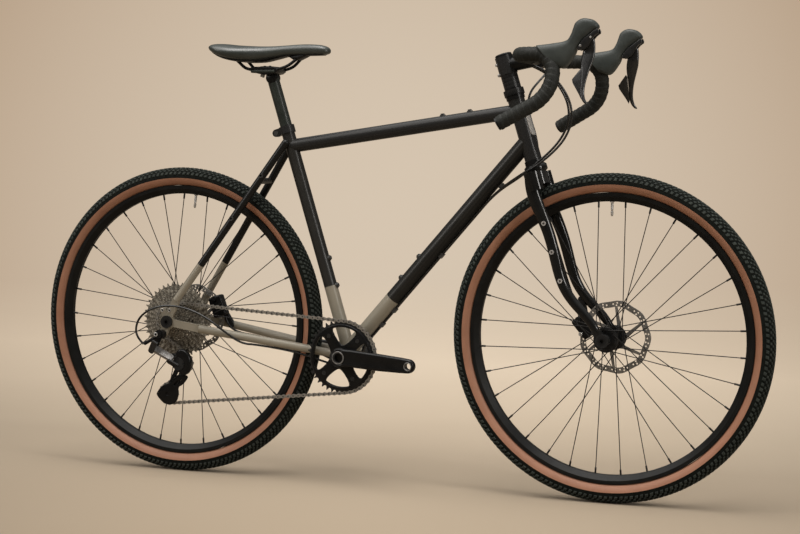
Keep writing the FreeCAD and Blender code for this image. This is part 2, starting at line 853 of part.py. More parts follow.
# Spacers and top cap
spacers = []
for step in range(spacer_count):
    low = spacer_base + spacer_height * step
    spacer = rod(on_head(low), on_head(low + spacer_height), spacer_diameter / 2 - spacer_groove)
    spacer = spacer.fuse(rod(on_head(low + spacer_groove), on_head(low + spacer_height), spacer_diameter / 2))
    spacers.append(spacer.removeSplitter().cut(steerer_solid))
top_cap = rod(on_head(stem_top), on_head(stem_top + top_cap_height), spacer_diameter / 2)
cap_centre = on_head(stem_top + top_cap_height)
cap_edge = [edge for edge in top_cap.Edges if edge.CenterOfMass.isEqual(cap_centre, point_tolerance)]
top_cap = top_cap.makeFillet(top_cap_height / 2, cap_edge)
spacers.append(top_cap)
parts["headset_spacers"] = group(spacers)

# Stem and faceplate
stem_middle = on_head((stem_base + stem_top) / 2)
stem_along = polar(stem_rise_angle)
bar_centre = stem_middle + stem_along * stem_length
clamp_half = bar_clamp_width / 2
clamp_radius = bar_clamp_diameter / 2 + bar_clamp_wall
clamp_barrel = disc(bar_centre, -clamp_half, clamp_half, clamp_radius)
bar_clamp_solid = disc(bar_centre, -clamp_half, clamp_half, bar_clamp_diameter / 2)
stem = rod(on_head(stem_base), on_head(stem_top), stem_clamp_diameter / 2)
stem = stem.fuse([rod(stem_middle, bar_centre, stem_body_diameter / 2), clamp_barrel]).removeSplitter()
stem_turn = FreeCAD.Rotation(stem_along, left, stem_along.cross(left), "XZY")
front_half = Part.makeBox(2 * clamp_radius, 2 * bar_clamp_width, 4 * clamp_radius)
front_half.translate(Vector(0, -bar_clamp_width, -2 * clamp_radius))
stem_ends = FreeCAD.Placement(bar_centre, stem_turn)
front_half.Placement = stem_ends.multiply(front_half.Placement)
faceplate = clamp_barrel.common(front_half).cut(bar_clamp_solid)
shift_back = FreeCAD.Placement(stem_along * -faceplate_gap, FreeCAD.Rotation())
back_cutter = front_half.copy()
back_cutter.Placement = shift_back.multiply(back_cutter.Placement)
stem = stem.cut(back_cutter).cut(steerer_solid).cut(bar_clamp_solid)
parts["stem"] = largest(stem)
stem_across = stem_along.cross(left)
bolts = []
for side in (right_side, left_side):
    for rise in (-stem_bolt_rise, stem_bolt_rise):
        foot = bar_centre + left * (side * stem_bolt_spread / 2) + stem_across * rise
        head_start = foot + stem_along * clamp_radius / 2
        head_end = head_start + stem_along * stem_bolt_head_height
        bolt = rod(foot - stem_along * faceplate_gap, head_start, stem_bolt_radius)
        bolt = bolt.fuse(rod(head_start, head_end, stem_bolt_head_radius)).removeSplitter()
        bolts.append(bolt)
        faceplate = faceplate.cut(bolt)
parts["stem_faceplate"] = largest(faceplate)
bolts.append(rod(cap_centre, cap_centre + head_up * stem_bolt_head_height / 2, stem_bolt_head_radius))
parts["cockpit_bolts"] = group(bolts)

# Handlebar: one bent tube with a thick middle, wrapped in tape
flare_down = Vector(0, -math.sin(radians(bar_flare)), -math.cos(radians(bar_flare)))
bar_corner = sideways(bar_centre, -bar_half_width)
bar_front = bar_corner + forward * bar_reach
bar_drop = bar_front + flare_down * bar_drop_run
tail_heading = forward * -math.cos(radians(bar_tail_slope)) + flare_down * math.sin(radians(bar_tail_slope))
bar_end = bar_drop + tail_heading * bar_tail_run
bar_radii = [bar_corner_radius, bar_front_radius, bar_drop_radius]


def half_bar(start_half):
    points = [sideways(bar_centre, -start_half), bar_corner, bar_front, bar_drop, bar_end]
    return bent_path(points, bar_radii)[0]


bar_radius = bar_diameter / 2
half_path = half_bar(0)
bar_half = swept(half_path, bar_radius)
bar_bore = swept(half_path, bar_radius - bar_wall)
bulge = disc(bar_centre, -bar_bulge_half, 0, bar_clamp_diameter / 2)
taper_start = sideways(bar_centre, -bar_bulge_half)
taper = Part.makeCone(bar_clamp_diameter / 2, bar_radius, bar_taper_run, taper_start, left * -1)
bar_half = bar_half.fuse([bulge, taper]).cut(bar_bore)
handlebar = bar_half.fuse(mirrored(bar_half)).removeSplitter()
plug_start = bar_end - tail_heading * plug_depth
plug = rod(plug_start, bar_end, bar_radius - bar_wall)
plug_cap = rod(bar_end, bar_end + tail_heading * plug_head, bar_radius + tape_thickness / 2)
plug = plug.fuse(plug_cap).removeSplitter()
parts["handlebar"] = group([handlebar] + both_sides(plug))
tape_radius = bar_radius + tape_thickness
tape_path = half_bar(tape_start)
tape_solid = swept(tape_path, tape_radius)
tape = tape_solid.cut(swept(tape_path, bar_radius))
parts["bar_tape"] = group(both_sides(tape))

# Lever hoods: forward and rise shares of the centre line, half height and half width shares, tilt
hood_shares = (
    (0.04, 0.16, 0.20, 0.42, 8.0), (0.25, 0.21, 0.225, 0.50, 12.0), (0.50, 0.28, 0.20, 0.50, 22.0),
    (0.70, 0.42, 0.205, 0.49, 46.0), (0.82, 0.62, 0.215, 0.47, 64.0), (0.86, 0.80, 0.185, 0.43, 74.0),
    (0.87, 0.94, 0.07, 0.26, 80.0))
hood_origin = bar_corner + forward * hood_back - up * hood_drop
hood_wires = []
for along_share, rise_share, height_share, width_share, tilt in hood_shares:
    place = hood_origin + forward * (hood_length * along_share) + up * (hood_rise * rise_share)
    across = polar(tilt + 90)
    hood_wires.append(oval(place, across, left, hood_rise * height_share, hood_width * width_share))
hood = Part.makeLoft(hood_wires, True, False).cut(tape_solid)
hood = largest(hood)

# Lever brackets under the hoods, with a slot and pin for each lever
lever_pivot = bar_corner + forward * lever_pivot_forward + up * lever_pivot_rise
bracket_shares = ((-0.30, -0.16), (-0.06, -0.22), (0.10, -0.10), (0.19, 0.14), (0.17, 0.26), (-0.34, 0.02))
corners = [lever_pivot + forward * (hood_length * a) + up * (hood_rise * b) for a, b in bracket_shares]
corners = [corner - left * bracket_half_width for corner in corners]
lever_bracket = Part.Face(Part.makePolygon(corners + corners[:1])).extrude(left * (2 * bracket_half_width))
pivot_y = lever_pivot.y
slot_low = pivot_y - bracket_slot_half
slot_high = pivot_y + bracket_slot_half
slot_radius = lever_tongue_radius + 2 * side_gap
slot_ends = [lever_pivot + polar(angle) * hood_length for angle in (0, -45, -90, -90 - lever_travel)]
slots = [flat_bar(lever_pivot, end, slot_radius, slot_low, slot_high) for end in slot_ends]
lever_slot = slots[0].fuse(slots[1:])
pin_low = pivot_y - bracket_half_width
pin_high = pivot_y + bracket_half_width
lever_pin = disc(lever_pivot, pin_low, pin_high, lever_pin_radius)
lever_bracket = lever_bracket.cut(hood).cut(lever_slot)
lever_bracket = lever_bracket.fuse(lever_pin).removeSplitter()
hood = largest(hood.cut(lever_slot))
parts["lever_hoods"] = group(both_sides(hood) + both_sides(largest(lever_bracket)))

# Brake levers: forward and drop shares of the blade, half width and half thickness shares
lever_shares = (
    (0.030, 0.06, 0.40, 0.26), (0.015, 0.19, 0.46, 0.27), (-0.055, 0.38, 0.40, 0.36),
    (-0.105, 0.60, 0.32, 0.33), (-0.115, 0.78, 0.27, 0.30), (-0.085, 0.92, 0.24, 0.27),
    (-0.03, 1.0, 0.17, 0.20))
lever_straight_share = 0.19


def lever_place(along, drop):
    """A place on the lever's plane, which leans outward below the bracket."""
    lean = max(drop - lever_length * lever_straight_share, 0) * math.tan(radians(lever_flare))
    return lever_pivot + forward * along - up * drop - left * lean


lever_wires = []
for along_share, drop_share, width_share, thickness_share in lever_shares:
    place = lever_place(lever_length * along_share, lever_length * drop_share)
    half_width = lever_width * width_share
    lever_wires.append(oval(place, forward, left, half_width, lever_thickness * thickness_share))
lever = Part.makeLoft(lever_wires, True, False)
tongue_half = bracket_slot_half - touch_gap
tongue = disc(lever_pivot, pivot_y - tongue_half, pivot_y + tongue_half, lever_tongue_radius)
lever = lever.fuse(tongue).removeSplitter()
pin_hole = disc(lever_pivot, pin_low, pin_high, lever_pin_radius + running_fit)
lever = lever.cut(pin_hole)

# Shift paddles behind the lever blades
paddle_middle = lever_place(-paddle_back, paddle_drop + paddle_height / 2)
paddle_top = paddle_middle + up * (paddle_height / 2)
paddle_low = paddle_middle - up * (paddle_height / 2)
paddle_corner = between(paddle_top, paddle_low, paddle_corner_share) - forward * paddle_depth
corners = [point - left * (paddle_thickness / 2) for point in (paddle_top, paddle_corner, paddle_low)]
paddle = Part.Face(Part.makePolygon(corners + corners[:1])).extrude(left * paddle_thickness)
paddle = paddle.fuse(rod(paddle_low, paddle_top, paddle_hub_radius)).removeSplitter()
parts["brake_lever_right"] = lever
parts["brake_lever_left"] = mirrored(lever)
parts["shift_paddle_right"] = paddle
parts["shift_paddle_left"] = mirrored(paddle)

# Tyres and rims
section_radius = tyre_section / 2
section_centre = tyre_radius - section_radius
rim_half = rim_width / 2
bead_half = rim_half - rim_lip - bead_fit
rim_bed_radius = rim_edge_radius - rim_bed_depth


def tyre(axle):
    def spot(y, radius):
        return Vector(axle.x + radius, y, axle.z)

    rim_line = rim_edge_radius + bead_fit
    neck_half = math.sqrt(section_radius ** 2 - (section_centre - rim_line) ** 2)
    bead_foot = rim_bed_radius + bead_fit
    inner_half = neck_half - tyre_wall
    crown_inner = tyre_radius - tyre_wall - tread_depth
    outer_arc = Part.Arc(spot(-neck_half, rim_line), spot(0, tyre_radius), spot(neck_half, rim_line))
    inner_arc = Part.Arc(spot(inner_half, rim_line), spot(0, crown_inner), spot(-inner_half, rim_line))
    left_bead = Part.makePolygon([
        spot(neck_half, rim_line), spot(bead_half, rim_line - tyre_wall), spot(bead_half, bead_foot),
        spot(inner_half, bead_foot), spot(inner_half, rim_line)])
    right_bead = Part.makePolygon([
        spot(-inner_half, rim_line), spot(-inner_half, bead_foot), spot(-bead_half, bead_foot),
        spot(-bead_half, rim_line - tyre_wall), spot(-neck_half, rim_line)])
    edges = [outer_arc.toShape()] + left_bead.Edges + [inner_arc.toShape()] + right_bead.Edges
    face = Part.Face(Part.Wire(Part.__sortEdges__(edges)))
    return face.revolve(axle, left, 360)


def rim(axle):
    shoulder = rim_edge_radius - rim_shoulder_depth
    well_half = rim_half - rim_lip
    floor_half = rim_floor_width / 2
    outline = [
        (rim_half, rim_edge_radius), (rim_half, shoulder), (floor_half, rim_inner_radius),
        (-floor_half, rim_inner_radius), (-rim_half, shoulder), (-rim_half, rim_edge_radius),
        (-well_half, rim_edge_radius), (-well_half, rim_bed_radius), (well_half, rim_bed_radius),
        (well_half, rim_edge_radius)]
    hollow = [
        (rim_half - 2 * rim_wall, shoulder - rim_wall), (floor_half, rim_inner_radius + rim_wall),
        (-floor_half, rim_inner_radius + rim_wall), (-rim_half + 2 * rim_wall, shoulder - rim_wall)]
    return turned(axle, outline).cut(turned(axle, hollow))


def wheel_point(axle, radius, angle, y):
    return sideways(axle + polar(angle) * radius, y)


def spokes(axle, flange_right, flange_left, valve_angle):
    """Crossed spokes with nipples; neighbours lie on opposite faces of the flange, the valve between two."""
    per_flange = spoke_count // 2
    step = 360 / per_flange
    built = []
    holes = []
    for side, flange in ((right_side, flange_right), (left_side, flange_left)):
        for index in range(per_flange):
            leading = 1 if index % 2 == 0 else -1
            hub_angle = valve_angle + step * (index + 1 / 4) + (step / 2 if side == left_side else 0)
            rim_angle = hub_angle + leading * spoke_crosses * step
            face = flange_thickness / 2 + spoke_radius
            y_shaft = side * (flange - leading * face)
            y_head = side * (flange + leading * face)
            elbow = wheel_point(axle, flange_hole_radius, hub_angle, y_shaft)
            head = wheel_point(axle, flange_hole_radius, hub_angle, y_head)
            end = wheel_point(axle, rim_inner_radius, rim_angle, side * spoke_rim_offset)
            nipple_foot = end + (elbow - end).normalize() * nipple_length
            seat = end + (elbow - end).normalize() * bead_fit
            spoke = rod(elbow, nipple_foot, spoke_radius)
            spoke = spoke.fuse([rod(elbow, head, spoke_radius), Part.makeSphere(spoke_radius, elbow)])
            half_head = spoke_radius / 2
            spoke = spoke.fuse(disc(head, y_head - half_head, y_head + half_head, spoke_head_radius))
            built.append(spoke)
            built.append(rod(nipple_foot, seat, nipple_radius))
            hole_ends = sorted((y_head, y_shaft))
            holes.append(disc(head, hole_ends[0], hole_ends[1], spoke_radius + spoke_hole_fit))
            holes.append(rod(elbow, nipple_foot, spoke_radius + running_fit))
    return group(built), holes


def hub(axle, flange_right, flange_left, outer_right, outer_left, rotor_y, holes):
    thick = flange_thickness / 2
    shell = disc(axle, -flange_right, flange_left, hub_shell_radius)
    shell = shell.fuse([
        disc(axle, -flange_right - thick, -flange_right + thick, flange_radius),
        disc(axle, flange_left - thick, flange_left + thick, flange_radius),
        disc(axle, -outer_right, outer_left, hub_end_radius),
        disc(axle, flange_left, rotor_y - rotor_thickness / 2, rotor_mount_radius)])
    shell = shell.removeSplitter().cut(disc(axle, -outer_right, outer_left, axle_hole_radius))
    return shell.cut(holes)


def rotor(axle, y):
    """A drilled brake track on leaning arms, with its lockring."""
    y_low = y - rotor_thickness / 2
    y_high = y + rotor_thickness / 2
    plate = ring(axle, y_low, y_high, rotor_radius, rotor_radius - rotor_track)
    centre = ring(axle, y_low, y_high, rotor_centre_radius, hub_end_radius + touch_gap)
    arms = []
    for index in range(rotor_arm_count):
        angle = 360 / rotor_arm_count * index
        start = axle + polar(angle) * (rotor_centre_radius - rotor_arm_width / 2)
        end = axle + polar(angle + rotor_arm_lean) * (rotor_radius - rotor_track + rotor_arm_width / 2)
        arms.append(flat_bar(start, end, rotor_arm_width / 2, y_low, y_high))
    plate = plate.fuse([centre] + arms).removeSplitter()
    holes = []
    middle = rotor_radius - rotor_track / 2
    for index in range(rotor_hole_count):
        angle = 360 / rotor_hole_count * index
        for row in (-1, 1):
            spot = axle + polar(angle + row * rotor_hole_step / 2) * (middle + row * rotor_track / 4)
            holes.append(disc(spot, y_low, y_high, rotor_hole_radius))
    plate = plate.cut(holes)
    lockring = ring(axle, y_high, y_high + lockring_thickness, lockring_radius, hub_end_radius + touch_gap)
    return group([plate, lockring])


front_rotor_y = front_spacing / 2 - front_rotor_offset
rear_rotor_y = rear_spacing / 2 - rear_rotor_offset
front_hub_end = front_spacing / 2 - side_gap
rear_hub_end = rear_spacing / 2 - side_gap
wheels = (
    ("front", front_axle, front_flange_right, front_flange_left, front_hub_end, front_rotor_y,
     front_valve_angle),
    ("rear", rear_axle, rear_flange_right, rear_flange_left, rear_hub_end, rear_rotor_y, rear_valve_angle))
for name, axle, flange_right, flange_left, hub_end, rotor_y, valve_angle in wheels:
    parts[name + "_tyre"] = tyre(axle)
    parts[name + "_rim"] = rim(axle)
    parts[name + "_spokes"], spoke_holes = spokes(axle, flange_right, flange_left, valve_angle)
    parts[name + "_hub"] = hub(axle, flange_right, flange_left, hub_end, hub_end, rotor_y, spoke_holes)
    parts[name + "_rotor"] = rotor(axle, rotor_y)


def caliper(axle, rotor_y, angle, lean, foot_end):
    """A brake body straddling the rotor, its banjo bolt and a foot on the frame or fork."""
    body = Part.makeBox(caliper_length, 2 * caliper_half_width, caliper_depth)
    body.translate(Vector(-caliper_length / 2, -caliper_half_width, -caliper_depth / 2))
    body = body.makeFillet(caliper_edge_radius, body.Edges)
    centre = sideways(axle + polar(angle) * caliper_reach, rotor_y)
    body.Placement = FreeCAD.Placement(centre, FreeCAD.Rotation(left, -lean))
    slot_half = rotor_thickness / 2 + caliper_slot_side
    slot = disc(axle, rotor_y - slot_half, rotor_y + slot_half, rotor_radius + caliper_slot_tip)
    body = largest(body.cut(slot))
    foot_low = foot_end.y - caliper_foot_width / 2
    foot_high = foot_end.y + caliper_foot_width / 2
    foot = flat_bar(sideways(centre, 0), sideways(foot_end, 0), caliper_foot_height / 2, foot_low, foot_high)
    banjo_place = centre + polar(lean) * (caliper_length / 2 - banjo_radius)
    banjo_start = rotor_y - caliper_half_width
    banjo = disc(banjo_place, banjo_start - banjo_length, banjo_start, banjo_radius)
    return body, foot.cut(slot).cut(body), banjo


# Rear caliper on the left chainstay
rear_caliper_foot = between(chainstay_foot, bracket, rear_caliper_foot_share)
rear_caliper_foot = sideways(rear_caliper_foot, dropout_middle - chainstay_diameter / 2)
rear_body, rear_foot, rear_banjo = caliper(
    rear_axle, rear_rotor_y, rear_caliper_angle, rear_caliper_lean, rear_caliper_foot)
rear_foot = largest(rear_foot.cut(chainstay_left).cut(dropout_left))
parts["rear_caliper"] = group([rear_body, rear_foot, rear_banjo])

# Front caliper behind the left fork blade
front_mount = blade_station(straight_run + blade_bend_radius * bend)
front_caliper_foot = sideways(front_mount[0] - front_mount[2] * front_mount[3], -front_mount[0].y)
front_lean = 90 + (90 - head_angle) + blade_bend_angle
front_body, front_foot, front_banjo = caliper(
    front_axle, front_rotor_y, front_caliper_angle, front_lean, front_caliper_foot)
front_foot = largest(front_foot.cut(mirrored(blade_solid)))
parts["front_caliper"] = group([front_body, front_foot, front_banjo])


# Sprockets and the chain that runs over them
def pitch_radius(teeth):
    return chain_pitch / (2 * math.sin(math.pi / teeth))


def toothed_face(centre, teeth, phase, y):
    """A sprocket outline with a round seat for each roller, first seat at the phase angle."""
    radius = pitch_radius(teeth)
    seat = roller_radius + roller_fit
    step = 360 / teeth
    edges = []
    starts = []
    ends = []
    for index in range(teeth):
        out = polar(phase + step * index)
        along = polar(phase + step * index + 90)
        middle = sideways(centre, y) + out * radius
        lean_in = out * -math.cos(radians(tooth_seat_angle)) * seat
        lean_side = along * math.sin(radians(tooth_seat_angle)) * seat
        starts.append(middle + lean_in - lean_side)
        ends.append(middle + lean_in + lean_side)
        edges.append(Part.Arc(starts[-1], middle - out * seat, ends[-1]).toShape())
    for index in range(teeth):
        middle_angle = phase + step * (index + 1 / 2)
        tip = sideways(centre, y) + polar(middle_angle) * (radius + tooth_rise)
        half_tip = polar(middle_angle + 90) * tooth_tip_half
        corners = [ends[index], tip - half_tip, tip + half_tip, starts[(index + 1) % teeth]]
        edges += Part.makePolygon(corners).Edges
    return Part.Face(Part.Wire(Part.__sortEdges__(edges)))


def sprocket(centre, teeth, phase, y, thickness, bore_radius):
    plate = toothed_face(centre, teeth, phase, y - thickness / 2).extrude(left * thickness)
    return plate.cut(disc(centre, y - thickness / 2, y + thickness / 2, bore_radius))


guide_centre = rear_axle + forward * guide_forward - up * guide_drop
driven_teeth = cassette_teeth[driven_cog]


def tension_centre(lean):
    return guide_centre + polar(-90 - lean) * cage_length


def chain_loop(lean):
    """The chain's pitch line: arcs on four sprockets joined by tangents, in the direction of travel."""
    wheels_on_loop = (
        (bracket, pitch_radius(chainring_teeth), -1), (tension_centre(lean), pitch_radius(pulley_teeth), -1),
        (guide_centre, pitch_radius(pulley_teeth), 1), (rear_axle, pitch_radius(driven_teeth), -1))
    leaving = []
    entering = []
    for index, (centre, radius, sense) in enumerate(wheels_on_loop):
        next_centre, next_radius, next_sense = wheels_on_loop[(index + 1) % len(wheels_on_loop)]
        span = next_centre - centre
        offset = next_sense * next_radius - sense * radius
        normal = math.atan2(span.z, span.x) - math.acos(-offset / span.Length)
        side = Vector(math.cos(normal), 0, math.sin(normal))
        leaving.append(centre + side * (sense * radius))
        entering.append(next_centre + side * (next_sense * next_radius))
    segments = []
    for index, (centre, radius, sense) in enumerate(wheels_on_loop):
        start = entering[index - 1] - centre
        end = leaving[index] - centre
        first = math.atan2(start.z, start.x)
        sweep = (sense * (math.atan2(end.z, end.x) - first)) % (2 * math.pi)
        segments.append((radius * sweep, centre, radius, sense, first))
        run = entering[index] - leaving[index]
        segments.append((run.Length, leaving[index], Vector(run).normalize()))
    return segments


def loop_point(segments, distance):
    total = sum(segment[0] for segment in segments)
    distance = distance % total
    for segment in segments:
        if distance <= segment[0]:
            break
        distance -= segment[0]
    if len(segment) == 3:
        return segment[1] + segment[2] * distance
    length, centre, radius, sense, first = segment
    angle = first + sense * distance / radius
    return centre + Vector(math.cos(angle), 0, math.sin(angle)) * radius


def chain_pins(segments, count):
    """Pins one pitch apart along the loop, and what is left over after the last one."""
    total = sum(segment[0] for segment in segments)
    pins = [loop_point(segments, 0)]
    distance = 0
    for index in range(count):
        low = distance
        high = distance + 2 * chain_pitch
        for halving in range(40):
            middle = (low + high) / 2
            if (loop_point(segments, middle) - pins[-1]).Length < chain_pitch:
                low = middle
            else:
                high = middle
        distance = low
        pins.append(loop_point(segments, distance))
    return pins[:count], distance - total


link_count = 2 * round(sum(segment[0] for segment in chain_loop(cage_lean)) / (2 * chain_pitch))
longer_lean = cage_lean + cage_lean_search
shorter_lean = cage_lean - cage_lean_search
for halving in range(40):
    lean = (longer_lean + shorter_lean) / 2
    if chain_pins(chain_loop(lean), link_count)[1] > 0:
        shorter_lean = lean
    else:
        longer_lean = lean
pins, leftover = chain_pins(chain_loop(lean), link_count)
tension_pulley_centre = tension_centre(lean)
print("chain links", link_count, "cage lean", round(lean, 2), "closing error", round(leftover, 4))


def chain_plate(y_low, thickness, hole_radius):
    plate = flat_bar(origin, forward * chain_pitch, chain_plate_height / 2, y_low, y_low + thickness)
    if hole_radius:
        ends = (origin, forward * chain_pitch)
        plate = plate.cut([disc(end, y_low, y_low + thickness, hole_radius) for end in ends])
    return plate


inner_half_width = chain_inner_width / 2
inner_outside = inner_half_width + chain_plate_thickness
outer_inside = inner_outside + chain_plate_gap
outer_outside = outer_inside + chain_plate_thickness
pin_hole_radius = chain_pin_radius + chain_pin_fit
inner_link = chain_plate(inner_half_width, chain_plate_thickness, pin_hole_radius)
inner_link = inner_link.fuse(mirrored(inner_link))
for end in (origin, forward * chain_pitch):
    roller = ring(end, -inner_half_width, inner_half_width, roller_radius, pin_hole_radius)
    inner_link = inner_link.fuse(roller)
inner_link = inner_link.removeSplitter()
outer_link = chain_plate(outer_inside, chain_plate_thickness, 0)
outer_link = outer_link.fuse(mirrored(outer_link))
pin_half = outer_outside + chain_pin_stub
for end in (origin, forward * chain_pitch):
    outer_link = outer_link.fuse(disc(end, -pin_half, pin_half, chain_pin_radius))
outer_link = outer_link.removeSplitter()
links = []
for index, pin in enumerate(pins):
    span = pins[(index + 1) % link_count] - pin
    turn = FreeCAD.Rotation(left, -math.degrees(math.atan2(span.z, span.x)))
    link = (inner_link if index % 2 == 0 else outer_link).copy()
    link.Placement = FreeCAD.Placement(sideways(pin, -chainline), turn)
    links.append(link)
parts["chain"] = group(links)


def seat_phase(centre, teeth):
    """Angle of a pin that lies on the sprocket, so that its seats meet the chain."""
    on_circle = [pin for pin in pins if abs((pin - centre).Length - pitch_radius(teeth)) < running_fit]
    spoke_line = on_circle[len(on_circle) // 2] - centre
    return math.degrees(math.atan2(spoke_line.z, spoke_line.x))


# Chainring with bolt tabs
ring_phase = seat_phase(bracket, chainring_teeth)
bolt_radius = chainring_bolt_circle / 2
ring_low = -chainline - chainring_thickness / 2
ring_high = -chainline + chainring_thickness / 2
chainring = sprocket(
    bracket, chainring_teeth, ring_phase, -chainline, chainring_thickness, chainring_inner_radius)
bolt_spots = [bracket + polar(crank_angle + angle) * bolt_radius for angle in spider_angles]
tab_reach = chainring_inner_radius - chainring_tab_radius / 2
tabs = []
for spot in bolt_spots:
    tab_end = between(bracket, spot, tab_reach / bolt_radius)
    tabs.append(flat_bar(spot, tab_end, chainring_tab_radius, ring_low, ring_high))
chainring = chainring.fuse(tabs).removeSplitter()
spider_low = ring_low - spider_arm_thickness
bolt_low = spider_low - chainring_bolt_head
ring_bolts = [disc(spot, bolt_low, ring_high, chainring_bolt_radius) for spot in bolt_spots]
chainring = chainring.cut(ring_bolts)
parts["chainring"] = group([chainring] + ring_bolts)

# Cranks
spindle_radius = spindle_diameter / 2


def crank_arm(side, angle):
    """A tapered arm with chamfered edges and a threaded pedal eye."""
    tip = bracket + polar(angle) * crank_length
    along = polar(angle)
    across = along.cross(left)
    sections = []
    rows = (
        (bracket, crank_root_half, crank_root_width / 2, crank_root_thickness / 2),
        (tip, crank_tip_half, crank_tip_width / 2, crank_tip_thickness / 2))
    for place, half, half_width, half_thick in rows:
        middle = sideways(place, side * half)
        corners = []
        for turn_u, turn_v in ((1, 1), (-1, 1), (-1, -1), (1, -1)):
            wide = across * (turn_u * half_width)
            thick = left * (turn_v * half_thick)
            narrow = across * (turn_u * (half_width - crank_chamfer))
            thin = left * (turn_v * (half_thick - crank_chamfer))
            pair = [middle + wide + thin, middle + narrow + thick]
            corners += pair if turn_u * turn_v > 0 else pair[::-1]
        sections.append(Part.makePolygon(corners + corners[:1]))
    arm = Part.makeLoft(sections, True, True)
    eye_low = side * crank_tip_half - crank_tip_thickness / 2
    eye_high = side * crank_tip_half + crank_tip_thickness / 2
    boss_y = sorted((side * (crank_root_half + crank_root_thickness / 2), side * (cup_outer + side_gap)))
    eye = disc(tip, eye_low, eye_high, crank_tip_width / 2)
    arm = arm.fuse([eye, disc(bracket, boss_y[0], boss_y[1], crank_boss_radius)])
    eye_bore = disc(tip, eye_low - crank_chamfer, eye_high + crank_chamfer, pedal_thread_radius)
    return arm.removeSplitter().cut(eye_bore)


crank_right = crank_arm(right_side, crank_angle)
spider = [flat_bar(bracket, spot, spider_arm_width / 2, spider_low, ring_low) for spot in bolt_spots]
crank_right = crank_right.fuse(spider).removeSplitter()
cap_face = crank_root_half + crank_root_thickness / 2
spindle = disc(bracket, -cup_outer - side_gap, cap_face, spindle_radius)
socket = disc(bracket, -cap_face - crank_root_thickness, -cap_face + spindle_cap_recess, spindle_cap_radius)
crank_right = crank_right.cut(ring_bolts).cut(socket).removeSplitter()
socket_end = -cap_face + spindle_cap_recess
cap_outer = -cap_face - spindle_cap_thickness / 2
end_cap = ring(bracket, cap_outer, socket_end, spindle_cap_radius, spindle_cap_radius - 2 * tube_wall)
parts["crank_right"] = group([largest(crank_right), spindle, end_cap])
crank_left = crank_arm(left_side, crank_angle + 180).cut(disc(bracket, 0, cap_face, spindle_radius))
parts["crank_left"] = largest(crank_left)

# Cassette on its freehub
cogs = []
cog_ys = [-chainline - cog_pitch * (driven_cog - index) for index in range(len(cassette_teeth))]
for index, (teeth, y) in enumerate(zip(cassette_teeth, cog_ys)):
    phase = seat_phase(rear_axle, teeth) if index == driven_cog else 0
    cog = sprocket(rear_axle, teeth, phase, y, cog_thickness, freehub_radius)
    root = pitch_radius(teeth) - roller_radius - cog_window_gap
    hub_edge = freehub_radius + cassette_spacer_wall + cog_window_gap / 2
    window = (root - hub_edge) / 2
    if window > roller_radius:
        middle = (root + hub_edge) / 2
        turn = 360 / cog_window_count
        spots = [rear_axle + polar(turn * count) * middle for count in range(cog_window_count)]
        reach = min(window, math.pi * middle / cog_window_count - cog_window_gap / 2)
        cog = cog.cut([disc(spot, y - cog_thickness / 2, y + cog_thickness / 2, reach) for spot in spots])
    cogs.append(cog)
    if index:
        low = cog_ys[index - 1] + cog_thickness / 2
        high = y - cog_thickness / 2
        cogs.append(ring(rear_axle, low, high, freehub_radius + cassette_spacer_wall, freehub_radius))
freehub_low = cog_ys[0] - cog_thickness / 2
freehub_high = cog_ys[-1] + cog_thickness / 2
cogs.append(ring(rear_axle, freehub_low, freehub_high, freehub_radius, hub_end_radius + touch_gap))
lock_low = freehub_low - cassette_lockring_thickness
cogs.append(ring(rear_axle, lock_low, freehub_low, cassette_lockring_radius, hub_end_radius + touch_gap))
parts["cassette"] = group(cogs)


# Derailleur pulleys and cage
def pulley(centre):
    phase = seat_phase(centre, pulley_teeth)
    bore_radius = pulley_bolt_radius + running_fit
    wheel = sprocket(centre, pulley_teeth, phase, -chainline, pulley_thickness, bore_radius)
    core_half = pulley_body_thickness / 2
    core_radius = pitch_radius(pulley_teeth) - roller_radius - pulley_rim_depth
    core = ring(centre, -chainline - core_half, -chainline + core_half, core_radius, bore_radius)
    return wheel.fuse(core).removeSplitter()


parts["guide_pulley"] = pulley(guide_centre)
parts["tension_pulley"] = pulley(tension_pulley_centre)
plate_near = cage_plate_space / 2
plate_far = plate_near + cage_plate_thickness
outer_low = -chainline - plate_far
inner_high = -chainline + plate_far
outer_high = -chainline - plate_near
inner_low = -chainline + plate_near
cage = flat_bar(guide_centre, tension_pulley_centre, cage_plate_half_width, outer_low, outer_high)
inner_plate = flat_bar(guide_centre, tension_pulley_centre, cage_plate_half_width, inner_low, inner_high)
bolts = []
for centre in (guide_centre, tension_pulley_centre):
    bolts.append(disc(centre, outer_low, inner_high, pulley_bolt_radius))
    bolts.append(disc(centre, inner_high, inner_high + cage_bolt_head_height, cage_bolt_head_radius))
tail = disc(tension_pulley_centre, outer_low - cage_bolt_head_height, outer_low, cage_bolt_head_radius)
window_ends = [between(guide_centre, tension_pulley_centre, share) for share in cage_window_shares]
window = flat_bar(window_ends[0], window_ends[1], cage_plate_half_width / 3, outer_low, inner_high)
cage = cage.fuse([inner_plate, tail] + bolts).removeSplitter().cut(window)
parts["derailleur_cage"] = largest(cage)

# Derailleur knuckle, link and base: the link carries the knuckle from the base
knuckle_high = outer_low - side_gap
knuckle_low = knuckle_high - knuckle_length
knuckle_middle = sideways(guide_centre, (knuckle_low + knuckle_high) / 2)
link_heading = Vector(*link_direction_shares).normalize()
shift_heading = Vector(*shift_direction_shares).normalize()
pivot_axis = link_heading.cross(shift_heading).normalize()
knuckle_pivot = knuckle_middle - link_heading * (knuckle_radius + knuckle_lug_radius)
base_pivot = knuckle_pivot - link_heading * link_length
half_link = link_width / 2
lug_thickness = link_thickness / 2
lug_half = half_link + link_lug_gap + lug_thickness


